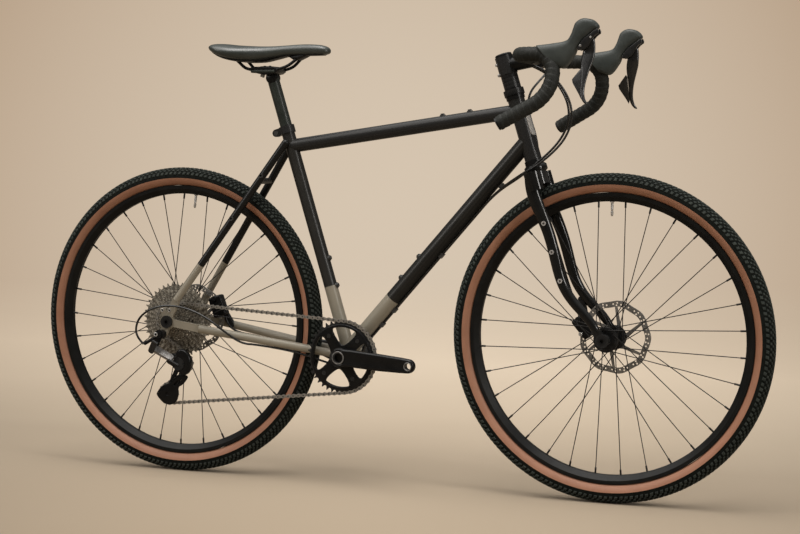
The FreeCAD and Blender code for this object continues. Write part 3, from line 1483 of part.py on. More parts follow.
def pivot_rod(place, reach, radius):
    return rod(place - pivot_axis * reach, place + pivot_axis * reach, radius)


link_across = pivot_axis.cross(link_heading).normalize()
link_body = Part.makeBox(link_length, link_thickness, link_width)
link_body.translate(Vector(0, -link_thickness / 2, -half_link))
link_turn = FreeCAD.Rotation(link_heading, link_across, pivot_axis, "XZY")
link_body.Placement = FreeCAD.Placement(base_pivot, link_turn).multiply(link_body.Placement)
link_ends = [pivot_rod(place, half_link, link_thickness / 2) for place in (base_pivot, knuckle_pivot)]
link = link_body.fuse(link_ends).removeSplitter()
for place in (base_pivot, knuckle_pivot):
    link = link.cut(pivot_rod(place, half_link, link_pin_radius + running_fit))
parts["derailleur_link"] = largest(link)


def clevis(place, root):
    """Two lugs with straps and a pin around the link's end, reaching to a boss."""
    span = root - place
    span = span - pivot_axis * span.dot(pivot_axis)
    heading = Vector(span).normalize()
    pieces = [pivot_rod(place, lug_half, link_pin_radius)]
    turn = FreeCAD.Rotation(heading, pivot_axis.cross(heading), pivot_axis, "XZY")
    for low in (half_link + link_lug_gap, -lug_half):
        foot = place + pivot_axis * low
        pieces.append(rod(foot, foot + pivot_axis * lug_thickness, knuckle_lug_radius))
        strap = Part.makeBox(span.Length, 2 * knuckle_lug_radius, lug_thickness)
        strap.translate(Vector(0, -knuckle_lug_radius, 0))
        strap.Placement = FreeCAD.Placement(foot, turn).multiply(strap.Placement)
        pieces.append(strap)
    return pieces


knuckle = disc(guide_centre, knuckle_low, knuckle_high, knuckle_radius)
knuckle_cage_side = disc(guide_centre, knuckle_high, -chainline, knuckle_radius + cage_length)
knuckle = knuckle.fuse(clevis(knuckle_pivot, knuckle_middle)).removeSplitter().cut(knuckle_cage_side)
parts["derailleur_knuckle"] = largest(knuckle)
base_high = -dropout_outer
base_low = base_high - base_length
base_middle = sideways(hanger, (base_low + base_high) / 2)
base = disc(hanger, base_low, base_high, base_radius)
stop_end = base_middle + polar(housing_stop_angle) * housing_stop_reach
base = base.fuse(clevis(base_pivot, base_middle) + [rod(base_middle, stop_end, housing_stop_radius)])
base = base.cut(dropout_right)
base_head = disc(hanger, base_low - base_bolt_head_height, base_low, base_bolt_head_radius)
base_bolt = disc(hanger, base_high, -dropout_inner, thread_diameter - running_fit)
base = base.fuse([base_head, base_bolt]).removeSplitter()
parts["derailleur_base"] = largest(base)

# Seatpost and saddle clamp
post_base = on_seat(seat_tube_length - post_insert)
post_top = on_seat(post_head_height)
post_radius = post_diameter / 2
rail_plane = post_top.z + clamp_rise
clamp_centre = Vector(post_top.x - clamp_setback, 0, rail_plane)
post = pipe(post_base, post_top, post_radius, post_radius - post_wall)
cradle = Part.makeBox(clamp_length, clamp_width, clamp_plate_height)
cradle.translate(clamp_centre - Vector(clamp_length / 2, clamp_width / 2, clamp_plate_height))
cradle = cradle.makeFillet(clamp_plate_height / 3, cradle.Edges)
head_block = rod(between(post_base, post_top, post_head_share), post_top, post_radius)
rail_radius = rail_diameter / 2
rail_shares = ((-0.235, 0.60), (-0.155, 0.09), (-0.10, 0.0), (0.115, 0.0), (0.20, 0.16), (0.285, 0.62))
rail_spread_shares = (1.35, 1.1, 1.0, 1.0, 0.8, 0.42)
rail_points = []
for (along_share, rise_share), spread in zip(rail_shares, rail_spread_shares):
    place = clamp_centre + forward * (saddle_length * along_share) + up * (saddle_height * rise_share)
    rail_points.append(sideways(place, -rail_half_spacing * spread))
rail_path = bent_path(rail_points)[0]
rail = swept(rail_path, rail_radius)
upper_plate = cradle.copy()
upper_plate.translate(up * clamp_plate_height)
clamp_bolts = []
for side in (-1, 1):
    foot = clamp_centre + forward * (side * clamp_bolt_spacing / 2) - up * clamp_plate_height
    tip = foot + up * (2 * clamp_plate_height + clamp_bolt_head)
    clamp_bolts.append(rod(foot, tip, clamp_bolt_radius))
rails = both_sides(rail)
post_head = post.fuse([head_block, cradle]).removeSplitter().cut(rails)
parts["seatpost"] = largest(post_head.cut(clamp_bolts))
parts["saddle_clamp"] = group([largest(upper_plate.cut(rails).cut(clamp_bolts))] + clamp_bolts)
parts["saddle_rails"] = group(rails)

# Saddle: place along the length, half width share, crown and edge height shares
saddle_shares = (
    (0.0, 0.26, 0.93, 0.68), (0.05, 0.42, 0.99, 0.52), (0.14, 0.50, 0.97, 0.26), (0.25, 0.47, 0.87, 0.08),
    (0.37, 0.35, 0.84, 0.05), (0.50, 0.23, 0.85, 0.07), (0.64, 0.17, 0.89, 0.16), (0.79, 0.145, 0.91, 0.30),
    (0.91, 0.125, 0.84, 0.34), (0.975, 0.085, 0.67, 0.38), (1.0, 0.045, 0.54, 0.41))
saddle_rear = clamp_centre.x - saddle_rear_setback
saddle_low = rail_plane + saddle_top_above_rails - saddle_height


def saddle_section(along_share, half_share, crown_share, edge_share):
    """A crowned cross section with sides drawn in below the widest line."""
    x = saddle_rear + saddle_length * along_share
    half = saddle_width * half_share
    edge = saddle_low + saddle_height * edge_share
    crown = saddle_low + saddle_height * crown_share
    rise = crown - edge
    wide = Vector(x, half, edge + rise / 2)
    tuck = Vector(x, half * saddle_shell_share, edge)
    shoulder = Vector(x, half * saddle_shoulder_share, edge + rise * saddle_shoulder_height_share)
    side_bow = Vector(x, half * saddle_side_bow_share, edge + rise / 4)
    top_bow = Vector(x, half * saddle_top_bow_share, edge + rise * saddle_top_bow_height_share)

    def flip(point):
        return sideways(point, -point.y)

    edges = [
        Part.Arc(tuck, side_bow, wide).toShape(), Part.Arc(wide, top_bow, shoulder).toShape(),
        Part.Arc(shoulder, Vector(x, 0, crown), flip(shoulder)).toShape(),
        Part.Arc(flip(shoulder), flip(top_bow), flip(wide)).toShape(),
        Part.Arc(flip(wide), flip(side_bow), flip(tuck)).toShape(),
        Part.LineSegment(flip(tuck), tuck).toShape()]
    return Part.Wire(edges)


def shell_section(along_share, half_share, crown_share, edge_share):
    x = saddle_rear + saddle_length * along_share
    half = saddle_width * half_share * saddle_shell_share
    top = saddle_low + saddle_height * edge_share - touch_gap
    corners = [Vector(x, side * half, height) for side, height in (
        (1, top), (-1, top), (-1, top - saddle_shell_thickness), (1, top - saddle_shell_thickness))]
    return Part.makePolygon(corners + corners[:1])


parts["saddle_cover"] = Part.makeLoft([saddle_section(*row) for row in saddle_shares], True, False)
shell = Part.makeLoft([shell_section(*row) for row in saddle_shares[1:-1]], True, True)
parts["saddle_cover"] = largest(parts["saddle_cover"].cut(rails))
parts["saddle_shell"] = largest(shell.cut(rails).cut(parts["saddle_cover"]))

# Brake hoses and the shift housing, along hand-chosen routes
front_hose_points = [
    (352.5, 66.5, 936.6), (344, 58, 922), (331, 45, 904), (318, 34, 884), (314, 28, 858), (321, 26.5, 826),
    (335, 27, 786), (338, 33, 752), (325, 44, 716), (323, 50, 690), (333, 52, 660), (355, 52, 606),
    (375, 52, 558), (388, 54, 516), (400, 55, 478), (412, 53, 446), (423, 50, 420), (432, 47.5, 396.7)]
rear_hose_points = [
    (353, -66, 934.5), (366, -64, 929), (391, -58, 914), (414, -50, 886), (428, -43, 852), (427, -38, 817),
    (412, -35, 784), (386, -34, 754), (352, -31, 727), (318, -22, 700)]
shift_points = [
    (358, -74, 935.5), (371, -72, 931), (397, -67, 915), (421, -59, 887), (436, -51, 853), (436, -45, 816),
    (420, -42, 780), (392, -41, 750), (358, -38, 724), (322, -31, 706)]


def down_run(side, distance):
    place = down_back + down_along * distance - down_up * hose_run_drop
    return sideways(place, side * hose_radius)


def stay_under(share, side):
    """A place under a chainstay, a share of the way from the bottom bracket to the dropout."""
    place = between(bracket, chainstay_foot, share)
    middle = chainstay_points[1]
    start, end = (chainstay_points[0], middle) if share < stay_share else (middle, chainstay_points[2])
    part_share = (place.x - start.x) / (end.x - start.x)
    y = abs(start.y + (end.y - start.y) * part_share)
    return sideways(place, side * y) - up * (chainstay_diameter / 2 + hose_radius + touch_gap)


shell_wrap = bracket_shell_diameter / 2 + hose_radius + hose_shell_gap


def shell_run(side):
    """Places on the way round under the bottom bracket shell."""
    return [sideways(bracket + polar(angle) * shell_wrap, side * half) for angle, half in shell_wrap_turns]


def vectors(points):
    return [Vector(*point) for point in points]


rear_hose_line = vectors(rear_hose_points)
rear_hose_line += [down_run(left_side, distance) for distance in hose_down_distances]
rear_hose_line += shell_run(left_side) + vectors([(-120, 19, 268)])
rear_hose_line += [stay_under(share, left_side) for share in (stay_share, rear_hose_stay_share)]
rear_hose_line += vectors([(-396, 63, 322), (-416, 57.5, 332), (-428, 55.6, 346), (-432, 55.6, 362.8)])
shift_line = vectors(shift_points)
shift_line += [down_run(right_side, distance) for distance in hose_down_distances]
shift_line += shell_run(right_side) + vectors([(-120, -19, 268)])
shift_line += [stay_under(share, right_side) for share in (stay_share, shift_stay_share)]
shift_line += vectors([
    (-331, -67, 312), (-368, -81, 340), (-408, -87, 369), (-452, -91, 388), (-500, -92, 395),
    (-545, -92, 388), (-579, -91, 366), (-591, -90, 340), (-587, -89, 316), (-571, -88, 302)])
hoses = (
    ("front_brake_hose", vectors(front_hose_points)), ("rear_brake_hose", rear_hose_line),
    ("shift_housing", shift_line))
for name, points in hoses:
    hose_path, radii = bent_path(points)
    parts[name] = swept(hose_path, hose_radius)
    section_volume = math.pi * hose_radius ** 2 * hose_path.Length
    print(name, "length", round(hose_path.Length), "smallest bend", round(min(radii), 1),
          "volume share", round(parts[name].Volume / section_volume, 4))

os.makedirs("parts", exist_ok=True)
for name, shape in parts.items():
    print(name, "solids", len(shape.Solids), "volume", round(shape.Volume), "valid", shape.isValid())
    shape.exportStep("parts/" + name + ".step")
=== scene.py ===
import json
import math

import bmesh
import bpy
from mathutils import Matrix, Vector


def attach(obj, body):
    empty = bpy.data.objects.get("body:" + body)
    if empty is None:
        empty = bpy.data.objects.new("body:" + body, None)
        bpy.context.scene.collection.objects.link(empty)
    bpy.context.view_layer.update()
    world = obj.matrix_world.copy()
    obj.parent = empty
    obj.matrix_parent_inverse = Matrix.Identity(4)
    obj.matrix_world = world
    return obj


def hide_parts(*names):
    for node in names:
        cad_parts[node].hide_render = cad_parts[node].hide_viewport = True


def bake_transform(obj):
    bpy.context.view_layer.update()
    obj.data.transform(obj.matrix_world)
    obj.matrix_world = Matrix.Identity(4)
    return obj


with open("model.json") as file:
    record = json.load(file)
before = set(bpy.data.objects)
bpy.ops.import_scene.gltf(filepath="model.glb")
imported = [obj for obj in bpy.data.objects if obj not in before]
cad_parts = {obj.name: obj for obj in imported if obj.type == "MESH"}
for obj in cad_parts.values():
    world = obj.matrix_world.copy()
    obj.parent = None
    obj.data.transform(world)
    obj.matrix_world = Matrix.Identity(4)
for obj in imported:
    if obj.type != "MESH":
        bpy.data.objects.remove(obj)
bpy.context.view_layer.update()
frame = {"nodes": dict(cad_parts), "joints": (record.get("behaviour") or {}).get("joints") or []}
nodes = frame["nodes"]
joints = {joint["name"]: joint for joint in frame["joints"]}
scene = bpy.context.scene
mm = 0.001
full_turn = 2 * math.pi
forward = Vector((1, 0, 0))
left = Vector((0, 1, 0))
up = Vector((0, 0, 1))
sides = (("right", -1), ("left", 1))


def joint_place(name):
    return Vector(joints[name]["pos_m"])


# Places and directions shared with the solids, in metres
front_axle = joint_place("front_wheel_spin")
rear_axle = joint_place("rear_wheel_spin")
bracket = joint_place("crank_spin")
lever_pivot = joint_place("brake_lever_right_pull")
seat_up = Vector(joints["seat_height"]["axis"])
head_up = Vector(joints["steer"]["axis"])

# Camera, as fitted to the photograph: metres, degrees and pixels
camera_spot = Vector((1.571, -3.926, 0.755))
camera_azimuth = math.radians(21.437)
camera_drop = math.radians(3.543)
camera_roll = math.radians(0.498)
focal_pixels = 1893.3
picture_width = 800
sensor_width = 36


def make_camera():
    sine = math.sin(camera_azimuth)
    cosine = math.cos(camera_azimuth)
    flat = math.cos(camera_drop)
    ahead = Vector((-sine * flat, cosine * flat, -math.sin(camera_drop)))
    level = Vector((cosine, sine, 0))
    upward = level.cross(ahead)
    right = level * math.cos(camera_roll) + upward * math.sin(camera_roll)
    top = upward * math.cos(camera_roll) - level * math.sin(camera_roll)
    data = bpy.data.cameras.new("camera")
    data.sensor_width = sensor_width
    data.lens = focal_pixels * sensor_width / picture_width
    camera = bpy.data.objects.new("camera", data)
    scene.collection.objects.link(camera)
    turn = Matrix((right, top, -ahead)).transposed().to_4x4()
    camera.matrix_world = Matrix.Translation(camera_spot) @ turn
    scene.camera = camera


# Flat loops and tables
def polar(reach, angle):
    return reach * math.cos(angle), reach * math.sin(angle)


def shares(steps):
    return [step / steps for step in range(steps + 1)]


def round_angles(count):
    return [full_turn * spot / count for spot in range(count)]


def arc(centre, radius, first, last, steps):
    """Places along an arc of a flat loop, angles in degrees."""
    places = []
    for step in range(steps + 1):
        x, y = polar(radius, math.radians(first + (last - first) * step / steps))
        places.append((centre[0] + x, centre[1] + y))
    return places


def circle(radius, count, centre=(0, 0)):
    return arc(centre, radius, 0, 360 - 360 / count, count - 1)


def softened(loop, rounds):
    """Rounds a loop's corners by cutting them again and again."""
    for _ in range(rounds):
        cut = []
        for spot, place in enumerate(loop):
            following = loop[(spot + 1) % len(loop)]
            for share in (0.25, 0.75):
                cut.append(tuple(a + (b - a) * share for a, b in zip(place, following)))
        loop = cut
    return loop


def bulged(value, power):
    """A signed power, which squares or rounds a section."""
    return math.copysign(abs(value) ** power, value)


def smooth_row(rows, share):
    """A row between the table's rows, on a smooth curve."""
    for index in range(len(rows) - 1):
        if share <= rows[index + 1][0]:
            break
    first = rows[max(index - 1, 0)]
    low, high = rows[index], rows[index + 1]
    last = rows[min(index + 2, len(rows) - 1)]
    span = high[0] - low[0]
    t = (share - low[0]) / span
    values = []
    for column in range(1, len(low)):
        slope_low = (high[column] - first[column]) / (high[0] - first[0]) * span
        slope_high = (last[column] - low[column]) / (last[0] - low[0]) * span
        values.append((2 * t ** 3 - 3 * t ** 2 + 1) * low[column] + (t ** 3 - 2 * t ** 2 + t) * slope_low
                      + (-2 * t ** 3 + 3 * t ** 2) * high[column] + (t ** 3 - t ** 2) * slope_high)
    return values


# Meshes and pieces
weld_reach = 0.005 * mm
shell_reach = 0.01 * mm
plate_rounding = 2
plate_crease = 40


def fit(piece, body, node=None):
    """Attaches a piece to its body and, where it stands for a solid, hides that solid."""
    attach(piece, body)
    if node:
        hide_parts(node)


def mesh_from(name, points, faces):
    mesh = bpy.data.meshes.new(name)
    mesh.from_pydata([tuple(point) for point in points], [], faces)
    mesh.update()
    return mesh


def new_object(name, mesh, *materials):
    piece = bpy.data.objects.new(name, mesh)
    scene.collection.objects.link(piece)
    for item in materials:
        mesh.materials.append(item)
    mesh.polygons.foreach_set("use_smooth", [True] * len(mesh.polygons))
    return piece


def crease(piece, degrees):
    """Keeps the edges sharp that bend more than an angle."""
    piece.data.set_sharp_from_angle(angle=math.radians(degrees))


def turn_outward(mesh, reach=0):
    """Turns every face outward, and first joins the corners that are within reach of each other."""
    box = bmesh.new()
    box.from_mesh(mesh)
    if reach:
        bmesh.ops.remove_doubles(box, verts=box.verts, dist=reach)
    bmesh.ops.recalc_face_normals(box, faces=box.faces)
    box.to_mesh(mesh)
    box.free()


def islands(mesh):
    """The corners of each separate shell of a mesh."""
    box = bmesh.new()
    box.from_mesh(mesh)
    bmesh.ops.remove_doubles(box, verts=box.verts, dist=shell_reach)
    seen = set()
    found = []
    for vertex in box.verts:
        stack = [vertex]
        shell = []
        while stack:
            current = stack.pop()
            if current in seen:
                continue
            seen.add(current)
            shell.append(current.co.copy())
            stack += [edge.other_vert(current) for edge in current.link_edges]
        if shell:
            found.append(shell)
    box.free()
    return found


def band_faces(first, second, count, closed=True):
    """Faces between two equal rows of points, from the numbers of the rows' first points."""
    faces = []
    for spot in range(count if closed else count - 1):
        beside = (spot + 1) % count
        faces.append((first + spot, first + beside, second + beside, second + spot))
    return faces


def tube_faces(rings, around, closed=False):
    """Faces of a skin over equal rings of points, capped at both ends unless it closes on itself."""
    faces = []
    for ring in range(rings if closed else rings - 1):
        faces += band_faces(ring * around, (ring + 1) % rings * around, around)
    if not closed:
        faces.append(tuple(range(around))[::-1])
        faces.append(tuple(range((rings - 1) * around, rings * around)))
    return faces


def turned(name, centre, axis, outline, around, item, ring=False, degrees=35):
    """An outline spun about an axis: millimetres along it and from it, closed on itself for a ring."""
    axis = axis.normalized()
    side = axis.orthogonal().normalized()
    other = axis.cross(side)
    points = []
    for place, radius in outline:
        for angle in round_angles(around):
            spoke = side * math.cos(angle) + other * math.sin(angle)
            points.append(centre + axis * (place * mm) + spoke * (radius * mm))
    mesh = mesh_from(name, points, tube_faces(len(outline), around, ring))
    turn_outward(mesh, weld_reach)
    piece = new_object(name, mesh, item)
    crease(piece, degrees)
    return piece


def lofted(name, rows, around, power, item):
    """A skin over rounded sections: rows of middle, first half axis and second half axis."""
    points = []
    for middle, first, second in rows:
        for angle in round_angles(around):
            across = first * bulged(math.cos(angle), power)
            points.append(middle + across + second * bulged(math.sin(angle), power))
    mesh = mesh_from(name, points, tube_faces(len(rows), around))
    turn_outward(mesh, weld_reach)
    return new_object(name, mesh, item)


def mesh_of_curve(name, data):
    """The mesh that a curve sweeps out."""
    curve = bpy.data.objects.new(name + "_line", data)
    scene.collection.objects.link(curve)
    bpy.context.view_layer.update()
    graph = bpy.context.evaluated_depsgraph_get()
    mesh = bpy.data.meshes.new_from_object(curve.evaluated_get(graph))
    bpy.data.objects.remove(curve)
    mesh.materials.clear()
    return mesh


def flat_piece(name, loops, centre, thick, bevel, item, along=forward, across=up):
    """A plate with rounded edges, in millimetres: the first loop is its outline, the others are holes."""
    data = bpy.data.curves.new(name, "CURVE")
    data.dimensions = "2D"
    data.fill_mode = "BOTH"
    data.extrude = (thick / 2 - bevel) * mm
    data.bevel_depth = bevel * mm
    data.bevel_resolution = plate_rounding
    data.offset = -bevel * mm
    for loop in loops:
        line = data.splines.new("POLY")
        line.points.add(len(loop) - 1)
        for point, (x, y) in zip(line.points, loop):
            point.co = (x * mm, y * mm, 0, 1)
        line.use_cyclic_u = True
    mesh = mesh_of_curve(name, data)
    turn = Matrix((along, across, along.cross(across))).transposed().to_4x4()
    mesh.transform(Matrix.Translation(centre) @ turn)
    turn_outward(mesh, weld_reach)
    piece = new_object(name, mesh, item)
    crease(piece, plate_crease)
    return piece


# Nodes of procedural materials
noise_low = 0.3
noise_high = 0.7
noise_roughness = 0.55


def grey(level):
    return level, level, level


class Look:
    """The nodes of a material or of the world, with short ways to add more, and the place they depend on."""

    def __init__(self, tree, coordinates):
        self.tree = tree
        self.place = self.node("TexCoord", {}).outputs[coordinates]

    def feed(self, node, inputs):
        """Gives a node its inputs, each a value, a colour or another node's output."""
        for key, value in inputs.items():
            socket = node.inputs[key]
            if isinstance(value, bpy.types.NodeSocket):
                self.tree.links.new(value, socket)
            elif socket.type == "RGBA":
                socket.default_value = (*value, 1)
            else:
                socket.default_value = value

    def dress(self, inputs):
        self.feed(self.tree.nodes["Principled BSDF"], inputs)

    def node(self, kind, inputs, **settings):
        node = self.tree.nodes.new("ShaderNode" + kind)
        for name, value in settings.items():
            setattr(node, name, value)
        self.feed(node, inputs)
        return node

    def noise(self, scale, detail=4.0):
        inputs = {"Vector": self.place, "Scale": scale, "Detail": detail, "Roughness": noise_roughness}
        return self.node("TexNoise", inputs).outputs["Fac"]

    def waves(self, scale, distortion=0.0, direction="X"):
        inputs = {"Vector": self.place, "Scale": scale, "Distortion": distortion}
        return self.node("TexWave", inputs, bands_direction=direction).outputs["Fac"]

    def cells(self, place, scale, randomness=1.0):
        inputs = {"Vector": place, "Scale": scale, "Randomness": randomness}
        return self.node("TexVoronoi", inputs).outputs["Distance"]

    def ramp(self, factor, colours):
        ramp = self.node("ValToRGB", {"Fac": factor})
        elements = ramp.color_ramp.elements
        while len(elements) < len(colours):
            elements.new(0.5)
        for element, (position, colour) in zip(elements, colours):
            element.position = position
            element.color = (*colour, 1)
        return ramp.outputs["Color"]

    def mottle(self, noise, dark, light):
        return self.ramp(noise, ((noise_low, dark), (noise_high, light)))

    def span(self, factor, low, high, out_low=0, out_high=1):
        """Turns one span of values into another."""
        inputs = {"Value": factor, "From Min": low, "From Max": high, "To Min": out_low, "To Max": out_high}
        return self.node("MapRange", inputs).outputs["Result"]

    def rough(self, noise, rough):
        return self.span(noise, noise_low, noise_high, *rough)

    def math(self, kind, first, second):
        return self.node("Math", {0: first, 1: second}, operation=kind).outputs["Value"]

    def times(self, first, second):
        return self.math("MULTIPLY", first, second)

    def vector(self, kind, first, second=(0, 0, 0)):
        node = self.node("VectorMath", {0: first, 1: second}, operation=kind)
        return node.outputs["Value" if kind in ("DOT_PRODUCT", "LENGTH") else "Vector"]

    def apart(self, vector):
        return self.node("SeparateXYZ", {"Vector": vector}).outputs

    def mix(self, factor, first, second):
        return self.node("Mix", {0: factor, 6: first, 7: second}, data_type="RGBA").outputs[2]

    def background(self, colour, strength=1.0):
        return self.node("Background", {"Color": colour, "Strength": strength}).outputs["Background"]

    def mix_shaders(self, factor, first, second):
        return self.node("MixShader", {0: factor, 1: first, 2: second}).outputs["Shader"]

    def bump(self, height, strength, distance):
        inputs = {"Height": height, "Strength": strength, "Distance": distance}
        return self.node("Bump", inputs).outputs["Normal"]

    def edge_wear_and_highlight(self, colour, wear_and_highlight_colour, low=0.56, high=0.68, share=0.25):
        """Lightens convex edges: partly wear from handling, partly a painted highlight along them."""
        edge = self.node("NewGeometry", {}).outputs["Pointiness"]
        return self.mix(self.span(edge, low, high, 0, share), colour, wear_and_highlight_colour)


def start_material(name):
    item = bpy.data.materials.new(name)
    item.use_nodes = True
    return item, Look(item.node_tree, "Object")


# Kinds of finish
black_paint = (grey(0.006), (0.011, 0.011, 0.010))
sand_paint = ((0.235, 0.212, 0.165), (0.285, 0.258, 0.205))
paint_mottle = 14.0
paint_peel = 520.0
seam_half = 0.2 * mm
fine_depth = 0.1 * mm
grain_depth = 0.2 * mm
coarse_depth = 0.3 * mm
tread_depth = 0.4 * mm
tooth_rate = 7.0


def finish(name, dark, light, scale, rough, metallic=0.0, bump=0.15, depth=grain_depth, fine=900.0, coat=0.0,
           coat_rough=0.1, wear_and_highlight=None, specular=0.5):
    """A mottled surface with varied roughness and a fine grain; given an edge colour, its convex edges
    lighten, partly as wear and partly as painted highlight.
    """
    item, look = start_material(name)
    colour = look.mottle(look.noise(scale), dark, light)
    if wear_and_highlight:
        colour = look.edge_wear_and_highlight(colour, wear_and_highlight)
    look.dress({
        "Base Color": colour, "Roughness": look.rough(look.noise(scale * 3), rough), "Metallic": metallic,
        "Coat Weight": coat, "Coat Roughness": coat_rough, "Specular IOR Level": specular,
        "Normal": look.bump(look.noise(fine, 3.0), bump, depth)})
    return item


def solid_black_paint(name, rough, coat, coat_rough):
    # The pale edge colour is partly wear, partly painted highlight.
    return finish(name, *black_paint, paint_mottle, rough, bump=0.05, fine=paint_peel, coat=coat,
                  coat_rough=coat_rough, wear_and_highlight=grey(0.10), specular=0.22)


def frame_paint(name, seam=None, upward=None):
    """Satin frame paint with a light orange peel; below the seam it is sand, above it black."""
    item, look = start_material(name)
    mottle = look.noise(paint_mottle)
    colour = look.mottle(mottle, *sand_paint)
    if seam is not None:
        level = seam.dot(upward)
        height = look.vector("DOT_PRODUCT", look.place, upward)
        above = look.span(height, level - seam_half, level + seam_half)
        colour = look.mix(above, colour, look.mottle(mottle, *black_paint))
    look.dress({
        # Lighter convex edges: partly wear, partly painted highlight.
        "Base Color": look.edge_wear_and_highlight(colour, (0.30, 0.28, 0.24), 0.60, 0.72, 0.15),
        "Roughness": look.rough(look.noise(45.0), (0.30, 0.40)), "Specular IOR Level": 0.30,
        "Coat Weight": 0.10, "Coat Roughness": 0.15,
        "Normal": look.bump(look.noise(paint_peel, 2.0), 0.06, grain_depth)})
    return item


def brushed(name, dark, light, rough, axle, metallic, specks=0.0):
    """Steel with fine rings around an axle; for toothed pieces, painted shade darkens the gaps between the
    cogs, leaving specks of bright steel.
    """
    item, look = start_material(name)
    flat = look.vector("MULTIPLY", look.vector("SUBTRACT", look.place, axle), (1, 0, 1))
    reach = look.vector("LENGTH", flat)
    inputs = {"W": reach, "Scale": 2500.0, "Detail": 3.0}
    rings = look.node("TexNoise", inputs, noise_dimensions="1D").outputs["Fac"]
    both = look.math("ADD", look.times(rings, 0.5), look.times(look.noise(60.0), 0.5))
    colour = look.ramp(both, ((0.35, dark), (0.65, light)))
    if specks:
        # Painted shade: cells around the axle darken the gaps between the cogs.
        turn = look.math("ARCTAN2", look.apart(flat)["Z"], look.apart(flat)["X"])
        inputs = {"X": look.times(reach, specks), "Y": look.times(turn, tooth_rate)}
        cells = look.cells(look.node("CombineXYZ", inputs).outputs["Vector"], 1.0, 0.35)
        colour = look.mix(look.span(cells, 0.26, 0.50, 0, 0.80), colour, (0.075, 0.066, 0.052))
    look.dress({
        "Base Color": colour, "Roughness": look.rough(both, rough), "Metallic": metallic,
        "Normal": look.bump(rings, 0.12, fine_depth)})
    return item


def sidewall_rubber():
    """Tan casing with its crossed threads and a slightly darker, redder mottle."""
    item, look = start_material("tan_sidewall")
    mottle = look.noise(22.0, 5.0)
    tan = ((0.25, (0.300, 0.135, 0.078)), (0.5, (0.350, 0.165, 0.098)), (0.8, (0.400, 0.195, 0.120)))
    specks = look.span(look.noise(700.0, 2.0), 0.45, 0.75, 0, 0.35)
    look.dress({
        "Base Color": look.mix(specks, look.ramp(mottle, tan), (0.22, 0.10, 0.06)),
        "Roughness": look.rough(mottle, (0.5, 0.62)),
        "Normal": look.bump(look.waves(420.0, 1.5), 0.10, grain_depth)})
    return item


def tape_cloth():
    """Perforated, slightly spongy bar tape, with painted shade darkening the perforations."""
    item, look = start_material("bar_tape_cloth")
    mottle = look.noise(60.0)
    colour = look.mottle(mottle, (0.013, 0.014, 0.012), (0.025, 0.026, 0.022))
    dots = look.span(look.cells(look.place, 420.0), 0.1, 0.4)
    # Painted shade: the perforations are darker than the tape.
    look.dress({
        "Base Color": look.mix(dots, grey(0.006), colour), "Roughness": look.rough(mottle, (0.55, 0.72)),
        "Specular IOR Level": 0.25, "Normal": look.bump(dots, 0.25, coarse_depth)})
    return item


def hood_rubber():
    """Grey-black grippy rubber with a fine diamond grain."""
    item, look = start_material("hood_rubber")
    mottle = look.noise(35.0)
    relief = look.math("ADD", look.waves(160.0, direction="DIAGONAL"), look.noise(1400.0, 2.0))
    look.dress({
        "Base Color": look.mottle(mottle, (0.034, 0.040, 0.037), (0.054, 0.062, 0.058)),
        "Roughness": look.rough(mottle, (0.40, 0.50)), "Specular IOR Level": 0.35,
        "Normal": look.bump(relief, 0.12, coarse_depth)})
    return item


def saddle_skin():
    """Dark grey synthetic leather with a fine pebble and a soft sheen."""
    item, look = start_material("saddle_skin")
    mottle = look.noise(18.0)
    look.dress({
        "Base Color": look.mottle(mottle, (0.026, 0.031, 0.027), (0.042, 0.049, 0.043)),
        "Roughness": look.rough(mottle, (0.30, 0.38)), "Specular IOR Level": 0.85,
        "Normal": look.bump(look.cells(look.place, 900.0), 0.10, grain_depth)})
    return item


# Paint, metals, rubbers
# Edge colours given to these finishes lighten convex edges: partly wear, partly painted highlight.
satin_black = solid_black_paint("satin_black_paint", (0.24, 0.32), 0.12, 0.12)
gloss_black = solid_black_paint("gloss_black_paint", (0.12, 0.18), 0.45, 0.04)
anodised = finish("black_anodised", grey(0.005), grey(0.010), 40.0, (0.24, 0.34), bump=0.06, wear_and_highlight=grey(0.10),
                  specular=0.25)
post_grey = finish("post_grey", (0.020, 0.024, 0.020), (0.032, 0.038, 0.032), 40.0, (0.26, 0.36), bump=0.06,
                   specular=0.40)
satin_rim = finish("rim_black", *black_paint, 30.0, (0.28, 0.38), bump=0.05, specular=0.22)
# The crank's pale edge colour stands in for the highlights on its bevels: painted highlight.
crank_black = finish("crank_black", grey(0.005), grey(0.009), 30.0, (0.20, 0.28), bump=0.04, wear_and_highlight=grey(0.16),
                     coat=0.15, coat_rough=0.10, specular=0.25)
crank_edge = finish("crank_edge", (0.20, 0.195, 0.19), (0.32, 0.31, 0.30), 120.0, (0.24, 0.34), metallic=0.5)
spoke_black = finish("spoke_black", (0.010, 0.009, 0.008), (0.022, 0.020, 0.018), 80.0, (0.34, 0.46),
                     metallic=0.3)
bright_steel = finish("bright_steel", (0.52, 0.51, 0.49), (0.72, 0.71, 0.69), 120.0, (0.18, 0.28),
                      metallic=0.55, bump=0.1)
dark_steel = finish("dark_steel", grey(0.05), (0.10, 0.10, 0.095), 120.0, (0.30, 0.42), metallic=0.5)
badge_metal = finish("badge_metal", (0.55, 0.53, 0.50), (0.80, 0.78, 0.74), 180.0, (0.30, 0.42), metallic=0.5,
                     bump=0.25)
